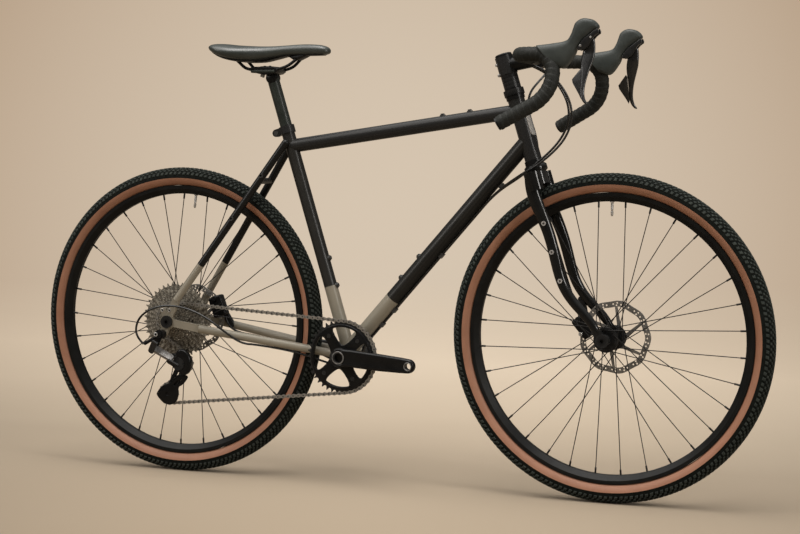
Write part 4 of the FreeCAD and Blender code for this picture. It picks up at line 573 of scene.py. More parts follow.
# The chain plates' pale edges are partly wear, partly painted highlight.
chain_steel = finish("chain_steel", (0.19, 0.175, 0.15), (0.36, 0.335, 0.295), 200.0, (0.26, 0.40),
                     metallic=0.4, wear_and_highlight=(0.55, 0.52, 0.48))
plastic = finish("black_plastic", grey(0.007), grey(0.013), 50.0, (0.38, 0.50), bump=0.12, specular=0.25)
hose_plastic = finish("hose_plastic", grey(0.010), (0.018, 0.018, 0.017), 90.0, (0.20, 0.28), bump=0.06,
                      specular=0.65)
tread_rubber = finish("tread_rubber", (0.018, 0.023, 0.020), (0.042, 0.050, 0.043), 90.0, (0.62, 0.78),
                      bump=0.35, depth=tread_depth, specular=0.25)
# Painted shade: the casing between the knobs, darker than the knobs' own rubber.
tread_gap_shade = finish("tread_gap_shade", (0.004, 0.005, 0.004), (0.008, 0.010, 0.008), 90.0, (0.7, 0.85), bump=0.1,
                   specular=0.1)
# The lever's bright edge colour is mostly a painted highlight, the glint along its edges.
lever_black = finish("lever_black", grey(0.008), grey(0.015), 60.0, (0.26, 0.36), bump=0.06, wear_and_highlight=grey(0.30),
                     specular=0.50, coat=0.9, coat_rough=0.08)
rotor_shades = ((0.15, 0.14, 0.125), (0.30, 0.285, 0.26))
front_rotor_steel = brushed("front_rotor_steel", *rotor_shades, (0.28, 0.40), front_axle, 0.45)
rear_rotor_steel = brushed("rear_rotor_steel", *rotor_shades, (0.28, 0.40), rear_axle, 0.45)
cassette_steel = brushed("cassette_steel", (0.26, 0.238, 0.195), (0.62, 0.575, 0.49), (0.20, 0.32), rear_axle,
                         0.30, 260.0)
sidewall = sidewall_rubber()
tape = tape_cloth()
hood_skin = hood_rubber()
saddle_cover = saddle_skin()

# Where the sand paint ends on each tube, in metres, and the tubes' directions
seat_seam = Vector((-0.139, 0, 0.445))
down_seam = Vector((0.006, 0, 0.430))
stay_seam = Vector((-0.438, 0, 0.489))
down_along = Vector((0.660, 0, 0.751))
stay_along = Vector((0.567, 0, 0.824))
sand = frame_paint("sand_paint")
seat_two_tone = frame_paint("seat_tube_paint", seat_seam, seat_up)
down_two_tone = frame_paint("down_tube_paint", down_seam, down_along)
stay_two_tone = frame_paint("seatstay_paint", stay_seam, stay_along)

node_materials = (
    (satin_black, "head_tube top_tube"), (seat_two_tone, "seat_tube"), (down_two_tone, "down_tube"),
    (stay_two_tone, "seatstays"), (sand, "bb_shell chainstays dropouts"),
    (gloss_black, "fork_crown fork_blades"), (badge_metal, "head_badge"), (bright_steel, "fork_bosses"),
    (post_grey, "seatpost"), (crank_edge, "derailleur_link"), (cassette_steel, "cassette"),
    (dark_steel, "frame_fittings frame_screws cockpit_bolts"),
    (anodised, "bearing_cups seat_clamp rear_axle front_axle rear_caliper front_caliper derailleur_base "
               "derailleur_knuckle derailleur_cage saddle_clamp saddle_rails headset_spacers stem "
               "stem_faceplate handlebar front_hub rear_hub"),
    (satin_rim, "front_rim rear_rim"), (spoke_black, "front_spokes rear_spokes"),
    (crank_black, "crank_right crank_left chainring"), (plastic, "guide_pulley tension_pulley"))


def dress_nodes():
    """Gives its finish to each solid that is seen."""
    for item, names in node_materials:
        for name in names.split():
            piece = nodes[name]
            if not piece.material_slots:
                piece.data.materials.append(item)
            for slot in piece.material_slots:
                slot.material = item


# Tyres: casing, tread band and rows of knobs
section_centre = 332.9 * mm
section_radius = 22.1 * mm
casing_radius = 20.5 * mm
bead_radius = 313.6 * mm
wall_depth = 0.4 * mm
wall_radius = section_radius - wall_depth
band_lip = 0.6 * mm
band_edge = math.radians(97)
wall_steps = 6
band_steps = 20
tyre_steps = 256
tyre_crease = 35
knob_count = 188
knob_corners = ((-1, -1), (1, -1), (1, 1), (-1, 1))
knob_root = 0.3 * mm
knob_rounding = 0.35 * mm
# Reach from the section's middle and widening of a knob's foot, shoulder and crown
knob_rings = (
    (casing_radius - knob_root, 1.12), (section_radius - knob_rounding, 0.94), (section_radius, 0.78))
knob_shrink = 0.86
knob_skew = 0.10
# Degrees around the section, half width in degrees, share of the pitch, stagger
knob_rows = (
    (0.0, 7.0, 0.50, 0.0), (16.0, 6.6, 0.46, 0.5), (31.0, 6.2, 0.46, 0.0), (46.0, 6.0, 0.46, 0.5),
    (66.0, 9.5, 0.56, 0.0))


def tyre_point(axle, turn, around, reach):
    """A place on the tyre: turn about the axle, angle around its section, reach from the section's middle."""
    x, z = polar(section_centre + reach * math.cos(around), turn)
    return axle + Vector((x, reach * math.sin(around), z))


def casing_profile():
    """The section from bead to bead: angle around it, reach, and whether it is sidewall."""
    foot = math.acos((bead_radius - section_centre) / wall_radius)
    wall = [(band_edge + (foot - band_edge) * share, wall_radius, True) for share in shares(wall_steps)]
    band = []
    for share in shares(band_steps):
        lip = band_lip if share in (0, 1) else 0
        band.append((-band_edge + 2 * band_edge * share, casing_radius + lip, False))
    return [(-around, reach, side) for around, reach, side in reversed(wall)] + band + wall


def add_knobs(axle, points, faces):
    """Rows of knobs with two bands of faces and a crown, every second one a little narrower."""
    pitch = full_turn / knob_count
    corners = len(knob_corners)
    for middle, half, length_share, stagger in knob_rows:
        for side in ((1, -1) if middle else (1,)):
            skew = knob_skew * pitch * side if middle else 0
            for count in range(knob_count):
                turn = pitch * (count + stagger)
                shrink = knob_shrink if (count + int(middle)) % 2 else 1
                base = len(points)
                for reach, inset in knob_rings:
                    for ahead, beside in knob_corners:
                        around = math.radians(side * middle + beside * half * inset * shrink)
                        spin = turn + ahead * pitch * length_share / 2 * inset + beside * skew
                        points.append(tyre_point(axle, spin, around, reach))
                crown = base + 2 * corners
                faces += band_faces(base, base + corners, corners)
                faces += band_faces(base + corners, crown, corners)
                faces.append(tuple(range(crown, crown + corners)))


def make_tyre(word, axle):
    profile = casing_profile()
    row = len(profile)
    points = []
    faces = []
    kinds = []
    for spin, turn in enumerate(round_angles(tyre_steps)):
        points += [tyre_point(axle, turn, around, reach) for around, reach, _ in profile]
        faces += band_faces(spin * row, (spin + 1) % tyre_steps * row, row, False)
        # The band between the knobs takes the third material, painted shade.
        kinds += [1 if first[2] and second[2] else 2 for first, second in zip(profile, profile[1:])]
    add_knobs(axle, points, faces)
    kinds += [0] * (len(faces) - len(kinds))
    mesh = mesh_from(word + "_casing", points, faces)
    piece = new_object(word + "_casing", mesh, tread_rubber, sidewall, tread_gap_shade)
    mesh.polygons.foreach_set("material_index", kinds)
    turn_outward(mesh)
    crease(piece, tyre_crease)
    fit(piece, word + "_wheel", word + "_tyre")


# Valves, in millimetres from the rim's inner face: foot, thread and cap
valve_reach = 294.5 * mm
valve_foot = [(0, 0), (0, 5), (2.2, 5), (2.2, 3)]
valve_thread = ((0, 3.0), (0.5, 2.7), (0.9, 3.0))
thread_start = 3
thread_pitch = 1.4
thread_turns = 11
valve_cap = [(19, 2.4), (22, 2.4), (22.3, 3.1), (30, 2.8), (32, 1.6), (32.4, 0)]


def make_valve(word, axle, degrees):
    """A threaded stem with its nut and cap, standing in from the rim."""
    angle = math.radians(degrees)
    inward = Vector((-math.cos(angle), 0, -math.sin(angle)))
    outline = list(valve_foot)
    for step in range(thread_turns):
        outline += [(thread_start + step * thread_pitch + rise, radius) for rise, radius in valve_thread]
    foot = axle - inward * valve_reach
    piece = turned(word + "_valve", foot, inward, outline + valve_cap, 20, bright_steel, degrees=40)
    fit(piece, word + "_wheel")


# Bar tape, wound along the bent bar; the right half's line from the middle to its end
bar_line = [Vector(place) * mm for place in (
    (350.95, 0, 954.31), (350.95, -178, 954.31), (435.95, -178, 954.31), (435.95, -203.28, 868.97),
    (331.16, -220.46, 810.96))]
bar_radii = (38 * mm, 42 * mm, 74 * mm)
bar_half_top = 178 * mm
tape_start = 62 * mm
tape_step = 1.3 * mm
tape_around = 28
tape_crease = 55
wrap_pitch = 13 * mm
wrap_lift = 1.1 * mm
wrap_edge = 0.08
tape_inner_radius = 12.1 * mm
tape_thick = 2.6 * mm
tape_taper = 5 * mm
tape_taper_start = 0.2 * mm
band_place = 63 * mm
# The finishing band, in millimetres: place along the bar, radius
band_outline = ((-8, 12.05), (-8, 12.7), (-1, 13.4), (8, 15.9), (12, 16.0), (12.4, 15.4), (12.4, 12.05))


def rounded_path(points, radii, step):
    """Places and headings along straight runs with rounded corners."""
    places = []
    start = points[0]
    for corner, before, after, radius in zip(points[1:-1], points[:-2], points[2:], radii):
        into = (corner - before).normalized()
        out = (after - corner).normalized()
        turn = into.angle(out)
        reach = radius * math.tan(turn / 2)
        first = corner - into * reach
        steps = max(1, int((first - start).length / step))
        places += [(start.lerp(first, spot / steps), into) for spot in range(steps)]
        axis = into.cross(out).normalized()
        middle = first + axis.cross(into) * radius
        steps = max(2, int(radius * turn / step))
        for spot in range(steps):
            spin = Matrix.Rotation(turn * spot / steps, 3, axis)
            places.append((middle + spin @ (first - middle), spin @ into))
        start = corner + out * reach
    steps = max(1, int((points[-1] - start).length / step))
    places += [(start.lerp(points[-1], share), out) for share in shares(steps)]
    return places


def make_tape(word, side):
    """Overlapping wraps: each rises quickly at its edge and sinks slowly to the next."""
    start = bar_line[0].lerp(bar_line[1], tape_start / bar_half_top)
    places = rounded_path([start] + bar_line[1:], bar_radii, tape_step)
    points = []
    run = 0.0
    across = forward
    for spot, (place, heading) in enumerate(places):
        if spot:
            run += (place - places[spot - 1][0]).length
        across = (across - heading * across.dot(heading)).normalized()
        other = heading.cross(across)
        taper = min(1.0, (run + tape_taper_start) / tape_taper)
        for angle in round_angles(tape_around):
            phase = (run / wrap_pitch + angle / full_turn) % 1.0
            rise = 1 - phase if phase > wrap_edge else phase / wrap_edge
            radius = tape_inner_radius + (tape_thick + wrap_lift * rise) * taper
            point = place + (across * math.cos(angle) + other * math.sin(angle)) * radius
            points.append((point.x, point.y * -side, point.z))
    mesh = mesh_from("tape_" + word, points, tube_faces(len(places), tape_around))
    turn_outward(mesh)
    piece = new_object("tape_" + word, mesh, tape)
    crease(piece, tape_crease)
    fit(piece, "steering", "bar_tape")


def make_tape_ends():
    """The band of finishing tape at the inner end of each wrap."""
    for word, side in sides:
        centre = bar_line[0] + left * (side * band_place)
        piece = turned("tape_band_" + word, centre, left * side, band_outline, 32, plastic)
        fit(piece, "steering")


# Levers and hoods, in millimetres from the lever's pin
# Hood rows from the tape to the horn's tip: share, top (x, z), bottom (x, z), half width
hood_rows = (
    (0.0, -119.0, -8.5, -78.0, -52.2, 18.5), (0.16, -86.0, -5.0, -58.4, -54.7, 19.0),
    (0.36, -54.4, 1.0, -39.3, -31.5, 18.0), (0.48, -44.8, 12.9, -32.2, -15.7, 17.0),
    (0.58, -40.6, 24.5, -20.3, 0.9, 16.5), (0.69, -35.4, 37.2, -9.6, 10.3, 16.0),
    (0.81, -21.0, 45.1, 1.9, 19.2, 15.0), (0.92, -2.8, 43.0, 11.4, 24.2, 12.5),
    (0.98, 5.5, 38.0, 12.6, 28.5, 8.5), (1.0, 9.5, 34.5, 11.5, 31.5, 3.0))
# Lever rows from its top to its tip: share, x, z, half width, half thickness
lever_rows = (
    (0.0, -3.5, 5.0, 5.0, 4.2), (0.04, -4.6, 0.7, 8.5, 4.6), (0.16, -6.8, -15.5, 12.1, 4.8),
    (0.29, -9.5, -34.2, 13.3, 4.8), (0.39, -11.7, -48.3, 11.6, 4.6), (0.52, -13.6, -67.1, 7.8, 4.3),
    (0.65, -15.2, -85.8, 5.2, 4.0), (0.78, -15.8, -104.6, 4.3, 3.7), (0.89, -12.8, -118.6, 3.9, 3.4),
    (0.97, -6.7, -128.0, 3.3, 3.0), (1.0, -4.5, -130.0, 1.2, 1.2))
cheek_outline = (
    (-31.0, -15.7), (-20.3, 0.9), (11.4, 24.2), (14.0, 19.0), (13.8, 14.4), (6.1, 8.7), (0.2, 1.8),
    (-5.6, -10.9), (-16.0, -19.0), (-28.0, -20.0))
paddle_outline = (
    (-23.5, -55.3), (-29.0, -62.3), (-41.7, -78.7), (-39.9, -86.2), (-24.5, -110.0), (-19.5, -119.0),
    (-17.5, -112.0), (-19.5, -81.1), (-20.5, -60.0))
screw_outline = ((0, 2.3), (0.9, 2.3), (1.1, 2.0), (1.1, 1.1), (0.3, 1.0), (0.3, 0))
screw_spots = ((-23.5, -10.5), (-2.0, 6.5))
screw_face = 11.4
cheek_places = (("outer", 9.0), ("inner", -9.0))
cheek_thick = 5
cheek_bevel = 0.9
paddle_thick = 3
paddle_bevel = 1.0
paddle_inset = 7.5
flare_angle = math.radians(13)
flare_start = 24.3
flare_run = 100


def from_pin(side, x, outward, z):
    """A place relative to the lever's pin."""
    y = side * (abs(lever_pivot.y) + outward * mm)
    return Vector((lever_pivot.x + x * mm, y, lever_pivot.z + z * mm))


def lever_place(side, x, z, inset=0.0):
    """A place in the lever's plane, which flares outward below its top."""
    return from_pin(side, x, max(-z - flare_start, 0) * math.tan(flare_angle) - inset, z)


def make_hoods():
    """Rubber skins, with the brackets' cheeks and screws at their front."""
    for word, side in sides:
        rows = []
        for share in shares(60):
            top_x, top_z, low_x, low_z, half = smooth_row(hood_rows, share)
            top = from_pin(side, top_x, 0, top_z)
            low = from_pin(side, low_x, 0, low_z)
            rows.append(((top + low) / 2, (top - low) / 2, left * (half * mm)))
        fit(lofted("hood_" + word, rows, 44, 0.66, hood_skin), "steering", "lever_hoods")
        for place, outward in cheek_places:
            name = "lever_cheek_%s_%s" % (place, word)
            spot = from_pin(side, 0, outward, 0)
            cheek = flat_piece(name, [cheek_outline], spot, cheek_thick, cheek_bevel, lever_black)
            fit(cheek, "steering", "lever_hoods")
        for number, (x, z) in enumerate(screw_spots):
            name = "lever_screw_%s_%d" % (word, number)
            spot = from_pin(side, x, screw_face, z)
            screw = turned(name, spot, left * side, screw_outline, 16, bright_steel)
            fit(screw, "steering")


def make_levers():
    for word, side in sides:
        rows = []
        for share in shares(48):
            x, z, half, thick = smooth_row(lever_rows, share)
            rows.append((lever_place(side, x, z), forward * (half * mm), left * (thick * mm)))
        blade = lofted("lever_blade_" + word, rows, 28, 0.8, lever_black)
        fit(blade, "brake_lever_" + word, "brake_lever_" + word)
        top = lever_place(side, 0, -flare_start, paddle_inset)
        low = lever_place(side, 0, -flare_start - flare_run, paddle_inset)
        loop = [(x, (-z - flare_start) / math.cos(flare_angle)) for x, z in paddle_outline]
        paddle = flat_piece("paddle_" + word, [loop], top, paddle_thick, paddle_bevel, lever_black,
                            across=(low - top).normalized())
        fit(paddle, "shift_paddle_" + word, "shift_paddle_" + word)


# Chain: waisted side plates on rollers, set on the solid's links
half_pitch = 6.35 * mm
link_radius = 4.25 * mm
link_waist = 2.5 * mm
link_thick = 0.85 * mm
roller_radius = 3.8 * mm
roller_inset = 0.9 * mm
pin_radius = 1.9 * mm
pin_height = 0.25 * mm
pin_corners = 12
chain_crease = 35
pulley_reach = 27 * mm
link_outline = arc((half_pitch, 0), link_radius, -128, 128, 10) + [(0, link_waist)]
link_outline += arc((-half_pitch, 0), link_radius, 52, 308, 10) + [(0, -link_waist)]


def near_cage(place):
    """True for a link on the pulleys: within reach of the line between their axles."""
    guide = joint_place("guide_pulley_spin")
    line = joint_place("tension_pulley_spin") - guide
    share = min(max((place - guide).dot(line) / line.length_squared, 0), 1)
    return (place - guide - line * share).length < pulley_reach


def measured_link(corners):
    """A link's middle, heading and half width, from its solid's corners."""
    low = Vector([min(corner[axis] for corner in corners) for axis in range(3)])
    high = Vector([max(corner[axis] for corner in corners) for axis in range(3)])
    middle = (low + high) / 2
    spread = [(corner.x - middle.x, corner.z - middle.z) for corner in corners]
    angle = math.atan2(2 * sum(x * z for x, z in spread), sum(x * x - z * z for x, z in spread)) / 2
    return middle, Vector((math.cos(angle), 0, math.sin(angle))), (high.y - low.y) / 2


def add_prism(points, faces, outline, ends, along):
    """A closed prism: one outline at two ends, in the plane of the chain."""
    across = Vector((-along.z, 0, along.x))
    base = len(points)
    count = len(outline)
    for end in ends:
        points += [end + along * u + across * v for u, v in outline]
    faces.append(tuple(range(base, base + count)))
    faces.append(tuple(range(base + count, base + 2 * count)))
    faces += band_faces(base, base + count, count)


def chain_piece(name, links, typical):
    """Plates, rollers and pins of a row of links, as one mesh; the narrower links carry the rollers, and
    rollers and pins are dark steel, painted shade for the gaps between the plates.
    """
    points = []
    faces = []
    kinds = []
    for middle, along, half in links:
        for side in (-1, 1):
            ends = [middle + left * (side * y) for y in (half, half - link_thick)]
            add_prism(points, faces, link_outline, ends, along)
        kinds += [0] * (len(faces) - len(kinds))
        inner = half < typical
        radius = roller_radius if inner else pin_radius
        reach = half - roller_inset if inner else half + pin_height
        for end in (-half_pitch, half_pitch):
            ends = [middle + along * end + left * y for y in (-reach, reach)]
            add_prism(points, faces, circle(radius, pin_corners), ends, along)
        # Rollers and pins take the dark steel: painted shade between the plates.
        kinds += [1] * (len(faces) - len(kinds))
    mesh = mesh_from(name, points, faces)
    mesh.polygons.foreach_set("material_index", kinds)
    turn_outward(mesh)
    piece = new_object(name, mesh, chain_steel, dark_steel)
    crease(piece, chain_crease)
    return piece


def make_chain():
    """The links on the pulleys ride the cage, and all others stay with the frame."""
    links = [measured_link(corners) for corners in islands(nodes["chain"].data)]
    typical = sum(half for _, _, half in links) / len(links)
    on_frame = [link for link in links if not near_cage(link[0])]
    on_cage = [link for link in links if near_cage(link[0])]
    fit(chain_piece("chain_links", on_frame, typical), "frame", "chain")
    fit(chain_piece("chain_on_cage", on_cage, typical), "derailleur_cage")


# Cranks and chainring, in millimetres: bevelled arms, rings at both holes, a windowed plate
crank_angle = -3.6
crank_length = 170
arm_offset = 61
arm_spread = 8
arm_thick = 16.5
arm_bevel = 4.2
arm_root_radius = 22
arm_low_side = [(30, -18.2), (96, -18.6), (150, -16.8)]
arm_tip = (168.5, 0)
arm_tip_radius = 15.6
arm_high_side = [(150, 16.8), (96, 18.6), (30, 20.4)]
arm_loop = arc((0, 0), arm_root_radius, 62, 298, 22) + arm_low_side
arm_loop += arc(arm_tip, arm_tip_radius, -92, 92, 18) + arm_high_side
spindle_hole = 13.3
pedal_hole = 7.4
arm_holes = [circle(spindle_hole, 36), circle(pedal_hole, 24, (crank_length, 0))]
# Place along the arm, outer radius, inner radius
crank_rings = ((0, 14.6, 12.2), (crank_length, 9.4, 7.5))
crank_ring_inset = 0.3
crank_ring_height = 1.0
crank_ring_cuts = ((0.3, 0.4), (0.4, 0.3))
spider_angles = (43.4, 122.4, 222.4, 301.4)
plate_radius = 73.5
plate_offset = 50.4
plate_thick = 5.6
plate_bevel = 1.2
window_outer = 68
window_inner = 28
spider_half_outer = 11.5
spider_half_inner = 12.5


def ring_outline(outer, inner, height, outer_cut, inner_cut):
    """A ring's section with both upper edges cut; each cut is its drop and its width."""
    return ((0, inner), (0, outer), (height - outer_cut[0], outer), (height, outer - outer_cut[1]),
            (height, inner + inner_cut[1]), (height - inner_cut[0], inner))


def make_crank(word, side, degrees):
    turn = math.radians(degrees)
    along = Vector((math.cos(turn), 0, math.sin(turn))) * crank_length + left * (side * arm_spread)
    along.normalize()
    across = Vector((-math.sin(turn), 0, math.cos(turn)))
    centre = bracket + left * (side * arm_offset * mm)
    arm = flat_piece("crank_arm_" + word, [arm_loop] + arm_holes, centre, arm_thick, arm_bevel, crank_black,
                     along, across)
    fit(arm, "crank")
    outward = along.cross(across)
    if outward.y * side < 0:
        outward = -outward
    for number, (reach, outer, inner) in enumerate(crank_rings):
        face = centre + along * (reach * mm) + outward * ((arm_thick / 2 - crank_ring_inset) * mm)
        outline = ring_outline(outer, inner, crank_ring_height, *crank_ring_cuts)
        band = turned("crank_ring_%s_%d" % (word, number), face, outward, outline, 40, crank_edge, True)
        fit(band, "crank")


def make_ring_plate():
    """The chainring's face, with a window between each pair of the spider's arms."""
    loops = [circle(plate_radius, 120)]
    outer_gap = math.degrees(math.asin(spider_half_outer / window_outer))
    inner_gap = math.degrees(math.asin(spider_half_inner / window_inner))
    following = spider_angles[1:] + (spider_angles[0] + 360,)
    for first, last in zip(spider_angles, following):
        loop = arc((0, 0), window_outer, first + outer_gap, last - outer_gap, 4)
        loop += arc((0, 0), window_inner, last - inner_gap, first + inner_gap, 1)
        loops.append(softened(loop, 3))
    centre = bracket - left * (plate_offset * mm)
    plate = flat_piece("chainring_face", loops, centre, plate_thick, plate_bevel, crank_black)
    fit(plate, "crank")


# Rotors, in millimetres: a scalloped, drilled track on leaning arms
scallop_count = 9
scallop_steps = 216
# Radius and height of the wave
track_outer = (78.6, 1.4)
track_inner = (65.5, 1.3)
track_thick = 1.8
track_bevel = 0.25
# Degrees from the scallop's middle, reach from the axle
track_holes = ((-14, 71.0), (-8, 74.5), (-7, 68.8), (0, 71.5), (7, 74.5), (8, 68.8), (14, 71.5))
track_hole_radius = 1.9
rotor_arm_count = 6
rotor_arm_foot = 20
rotor_arm_head = 67
rotor_arm_lean = 0.5
rotor_arm_half = 2.9
rotor_foot_share = 1.5
rotor_arm_thick = 1.4
rotor_arm_bevel = 0.2
carrier_outer = 26
carrier_inner = 16.5
carrier_loops = [circle(carrier_outer, 60), circle(carrier_inner, 36)]
carrier_thick = 3
carrier_bevel = 0.5


def waved_loop(radius, height):
    loop = []
    for angle in round_angles(scallop_steps):
        loop.append(polar(radius + height * math.cos(scallop_count * angle), angle))
    return loop


def make_rotor(word, axle, item):
    face = min(vertex.co.y for vertex in nodes[word + "_rotor"].data.vertices)
    centre = Vector((axle.x, face + track_thick / 2 * mm, axle.z))
    loops = [waved_loop(*track_outer), waved_loop(*track_inner)]
    for group in range(scallop_count):
        for turn, reach in track_holes:
            angle = math.radians(360 / scallop_count * group + turn)
            loops.append(circle(track_hole_radius, 12, polar(reach, angle)))
    pieces = [flat_piece(word + "_rotor_track", loops, centre, track_thick, track_bevel, item)]
    for count, angle in enumerate(round_angles(rotor_arm_count)):
        foot = Vector(polar(rotor_arm_foot, angle))
        head = Vector(polar(rotor_arm_head, angle + rotor_arm_lean))
        beside = (head - foot).normalized().orthogonal() * rotor_arm_half
        wide = beside * rotor_foot_share
        loop = (foot - wide, head - beside, head + beside, foot + wide)
        name = "%s_rotor_arm_%d" % (word, count)
        pieces.append(flat_piece(name, [loop], centre, rotor_arm_thick, rotor_arm_bevel, item))
    name = word + "_rotor_carrier"
    pieces.append(flat_piece(name, carrier_loops, centre, carrier_thick, carrier_bevel, anodised))
    for piece in pieces:
        fit(piece, word + "_wheel", word + "_rotor")


# Rear derailleur: outer cage plate and knuckle cover, in millimetres of the bike's side plane
cage_outline = (
    (-478.0, 232.0), (-471.0, 226.0), (-486.5, 207.5), (-498.5, 202.0), (-496.0, 187.6), (-500.0, 172.0),
    (-508.0, 163.5), (-522.0, 158.5), (-538.0, 163.0), (-556.0, 181.0), (-553.0, 188.0), (-545.0, 199.0),
    (-532.0, 207.0), (-516.9, 211.0), (-510.4, 218.5), (-498.0, 233.0))
cage_slot = ((-494, 222), (-489, 218), (-508, 203), (-512, 207))
cage_bolt = (-526.3, 184.6)
cage_bolt_radius = 4.0
cage_holes = [circle(cage_bolt_radius, 18, cage_bolt), softened(cage_slot, 2)]
knuckle_outline = (
    (-497.0, 262.0), (-499.0, 284.0), (-485.6, 294.5), (-468.0, 287.0), (-458.5, 268.0), (-459.0, 250.0),
    (-465.5, 236.5), (-480.0, 230.0), (-494.0, 240.0))
# Name, outline, holes, place across the bike, thickness, bevel, body
derailleur_covers = (
    ("cage_cover", cage_outline, cage_holes, -54.6, 2.0, 0.7, "derailleur_cage"),
    ("knuckle_cover", knuckle_outline, [], -64.0, 14.0, 4.0, "derailleur_knuckle"))


def make_derailleur_covers():
    for name, outline, holes, y, thick, bevel, body in derailleur_covers:
        piece = flat_piece(name, [softened(outline, 2)] + holes, left * (y * mm), thick, bevel, crank_black)
        fit(piece, body)


# Small metal pieces, in millimetres
eyelet_places = (-527.2, -508.2)
eyelet_height = 381.5
eyelet_face = 79.0
eyelet_rim = (4.3, 2.7, 0.8)
pinch_bolt_spots = ((256.6, -8.0, 939.3), (262.4, -8.0, 917.0))
headset_spot = (345.95, 0, 709.83)
headset_outline = ((0, 21.0), (0, 23.6), (1.4, 25.0), (12.4, 25.0), (14.0, 23.6), (14.0, 21.0))
hanger_spot = (-533.2, -99.0, 326.6)
hanger_rim = (5.0, 2.9, 0.9)
rim_cuts = ((0.2, 0.3), (0.2, 0.2))
# Name, spot, direction, radius, height, body
bolts = [("pinch_bolt_%d" % number, spot, (-0.75, -0.66, 0), 3.4, 5, "steering")
         for number, spot in enumerate(pinch_bolt_spots)]
end_bolts = (
    ("front_banjo", (442.5, 23.8, 359.5), (0, -1, 0), 4.2, 4, "steering"),
    ("saddle_nut", (-308, -5, 924), (-0.25, -0.2, -0.95), 5, 7, "seat"))
bolt_edge = 0.5
socket_radius_share = 0.5
socket_foot_share = 0.45
socket_depth_share = 0.5


def make_rim(name, spot, outward, rim):
    """A bright ring on the frame around a hole: outer radius, inner radius, height."""
    outline = ring_outline(*rim, *rim_cuts)
    fit(turned(name, Vector(spot) * mm, outward, outline, 28, bright_steel, True), "frame")


def make_bolt(name, spot, outward, radius, height, body):
    """A bolt's round head with a hollow for its tool."""
    floor = height * socket_depth_share
    outline = ((0, 0), (0, radius), (height - bolt_edge, radius), (height, radius - bolt_edge),
               (height, radius * socket_radius_share), (floor, radius * socket_foot_share), (floor, 0))
    fit(turned(name, Vector(spot) * mm, Vector(outward), outline, 24, bright_steel), body)


def make_small_metal():
    """Eyelet rims, pinch bolts, headset ring, hanger rim, the front hose's end bolt and the saddle's nut."""
    for word, side in sides:
        for number, x in enumerate(eyelet_places):
            spot = (x, side * eyelet_face, eyelet_height)
            make_rim("eyelet_rim_%s_%d" % (word, number), spot, left * side, eyelet_rim)
    for bolt in bolts:
        make_bolt(*bolt)
    spot = Vector(headset_spot) * mm
    ring = turned("headset_ring", spot, head_up, headset_outline, 48, gloss_black, True, 50)
    fit(ring, "frame")
    make_rim("hanger_ring", hanger_spot, -left, hanger_rim)
    for bolt in end_bolts:
        make_bolt(*bolt)


# Seat post head and cradle, in millimetres
head_spot = (-285.0, 0, 915.5)
head_outline = ((-15, 0), (-15, 9), (-13.8, 11.8), (-11, 13), (11, 13), (13.8, 11.8), (15, 9), (15, 0))
cradle_outline = (
    (-325.0, 932.5), (-314.0, 941.5), (-268.6, 941.5), (-262.0, 931.0), (-273.5, 922.5), (-308.7, 922.5))
cradle_width = 52
cradle_bevel = 2.0


def make_post_head():
    head = turned("post_head", Vector(head_spot) * mm, left, head_outline, 36, anodised)
    loop = softened(cradle_outline, 1)
    cradle = flat_piece("saddle_cradle", [loop], Vector(), cradle_width, cradle_bevel, anodised)
    for piece in (head, cradle):
        fit(piece, "seat")


# Saddle rows from rear to nose: share of the length, then shares of width, crown height and edge height
saddle_rows = (
    (0.0, 0.26, 0.97, 0.74), (0.05, 0.42, 1.04, 0.54), (0.14, 0.50, 1.03, 0.27), (0.25, 0.47, 0.96, 0.12),
    (0.37, 0.35, 0.92, 0.10), (0.43, 0.28, 0.91, 0.12), (0.50, 0.23, 0.91, 0.20), (0.56, 0.20, 0.92, 0.28),
    (0.64, 0.17, 0.945, 0.38), (0.79, 0.145, 0.985, 0.41), (0.91, 0.13, 0.95, 0.42),
    (0.965, 0.11, 0.87, 0.44), (0.99, 0.075, 0.78, 0.49), (1.0, 0.04, 0.70, 0.55))
saddle_rear = -431.56 * mm
saddle_low = 947.62 * mm
saddle_length = 288 * mm
saddle_width = 142 * mm
saddle_height = 44 * mm
saddle_rings = 72
saddle_around = 40
groove_depth = 1.6 * mm
groove_half = 9 * mm
groove_start = 0.08
groove_length = 0.62
widest_share = 0.45
tuck_share = 0.12
base_half_height = 4 * mm
base_drop = 1.2 * mm
base_width_share = 0.80
base_start = 0.05
base_length = 0.90
# The socket that takes the rails' front ends, in millimetres: along, half width, middle height, half height
rail_socket_rows = (
    (-240, 13, 963.0, 1.5), (-231, 16, 961.0, 5.0), (-217, 17, 961.5, 6.5), (-205, 15, 964.5, 4.0),
    (-196, 12, 966.5, 1.5))


def saddle_row(share):
    """Place along, half width, crown height and edge height, in metres."""
    half, crown, edge = smooth_row(saddle_rows, share)
    return (saddle_rear + saddle_length * share, saddle_width * half, saddle_low + saddle_height * crown,
            saddle_low + saddle_height * edge)


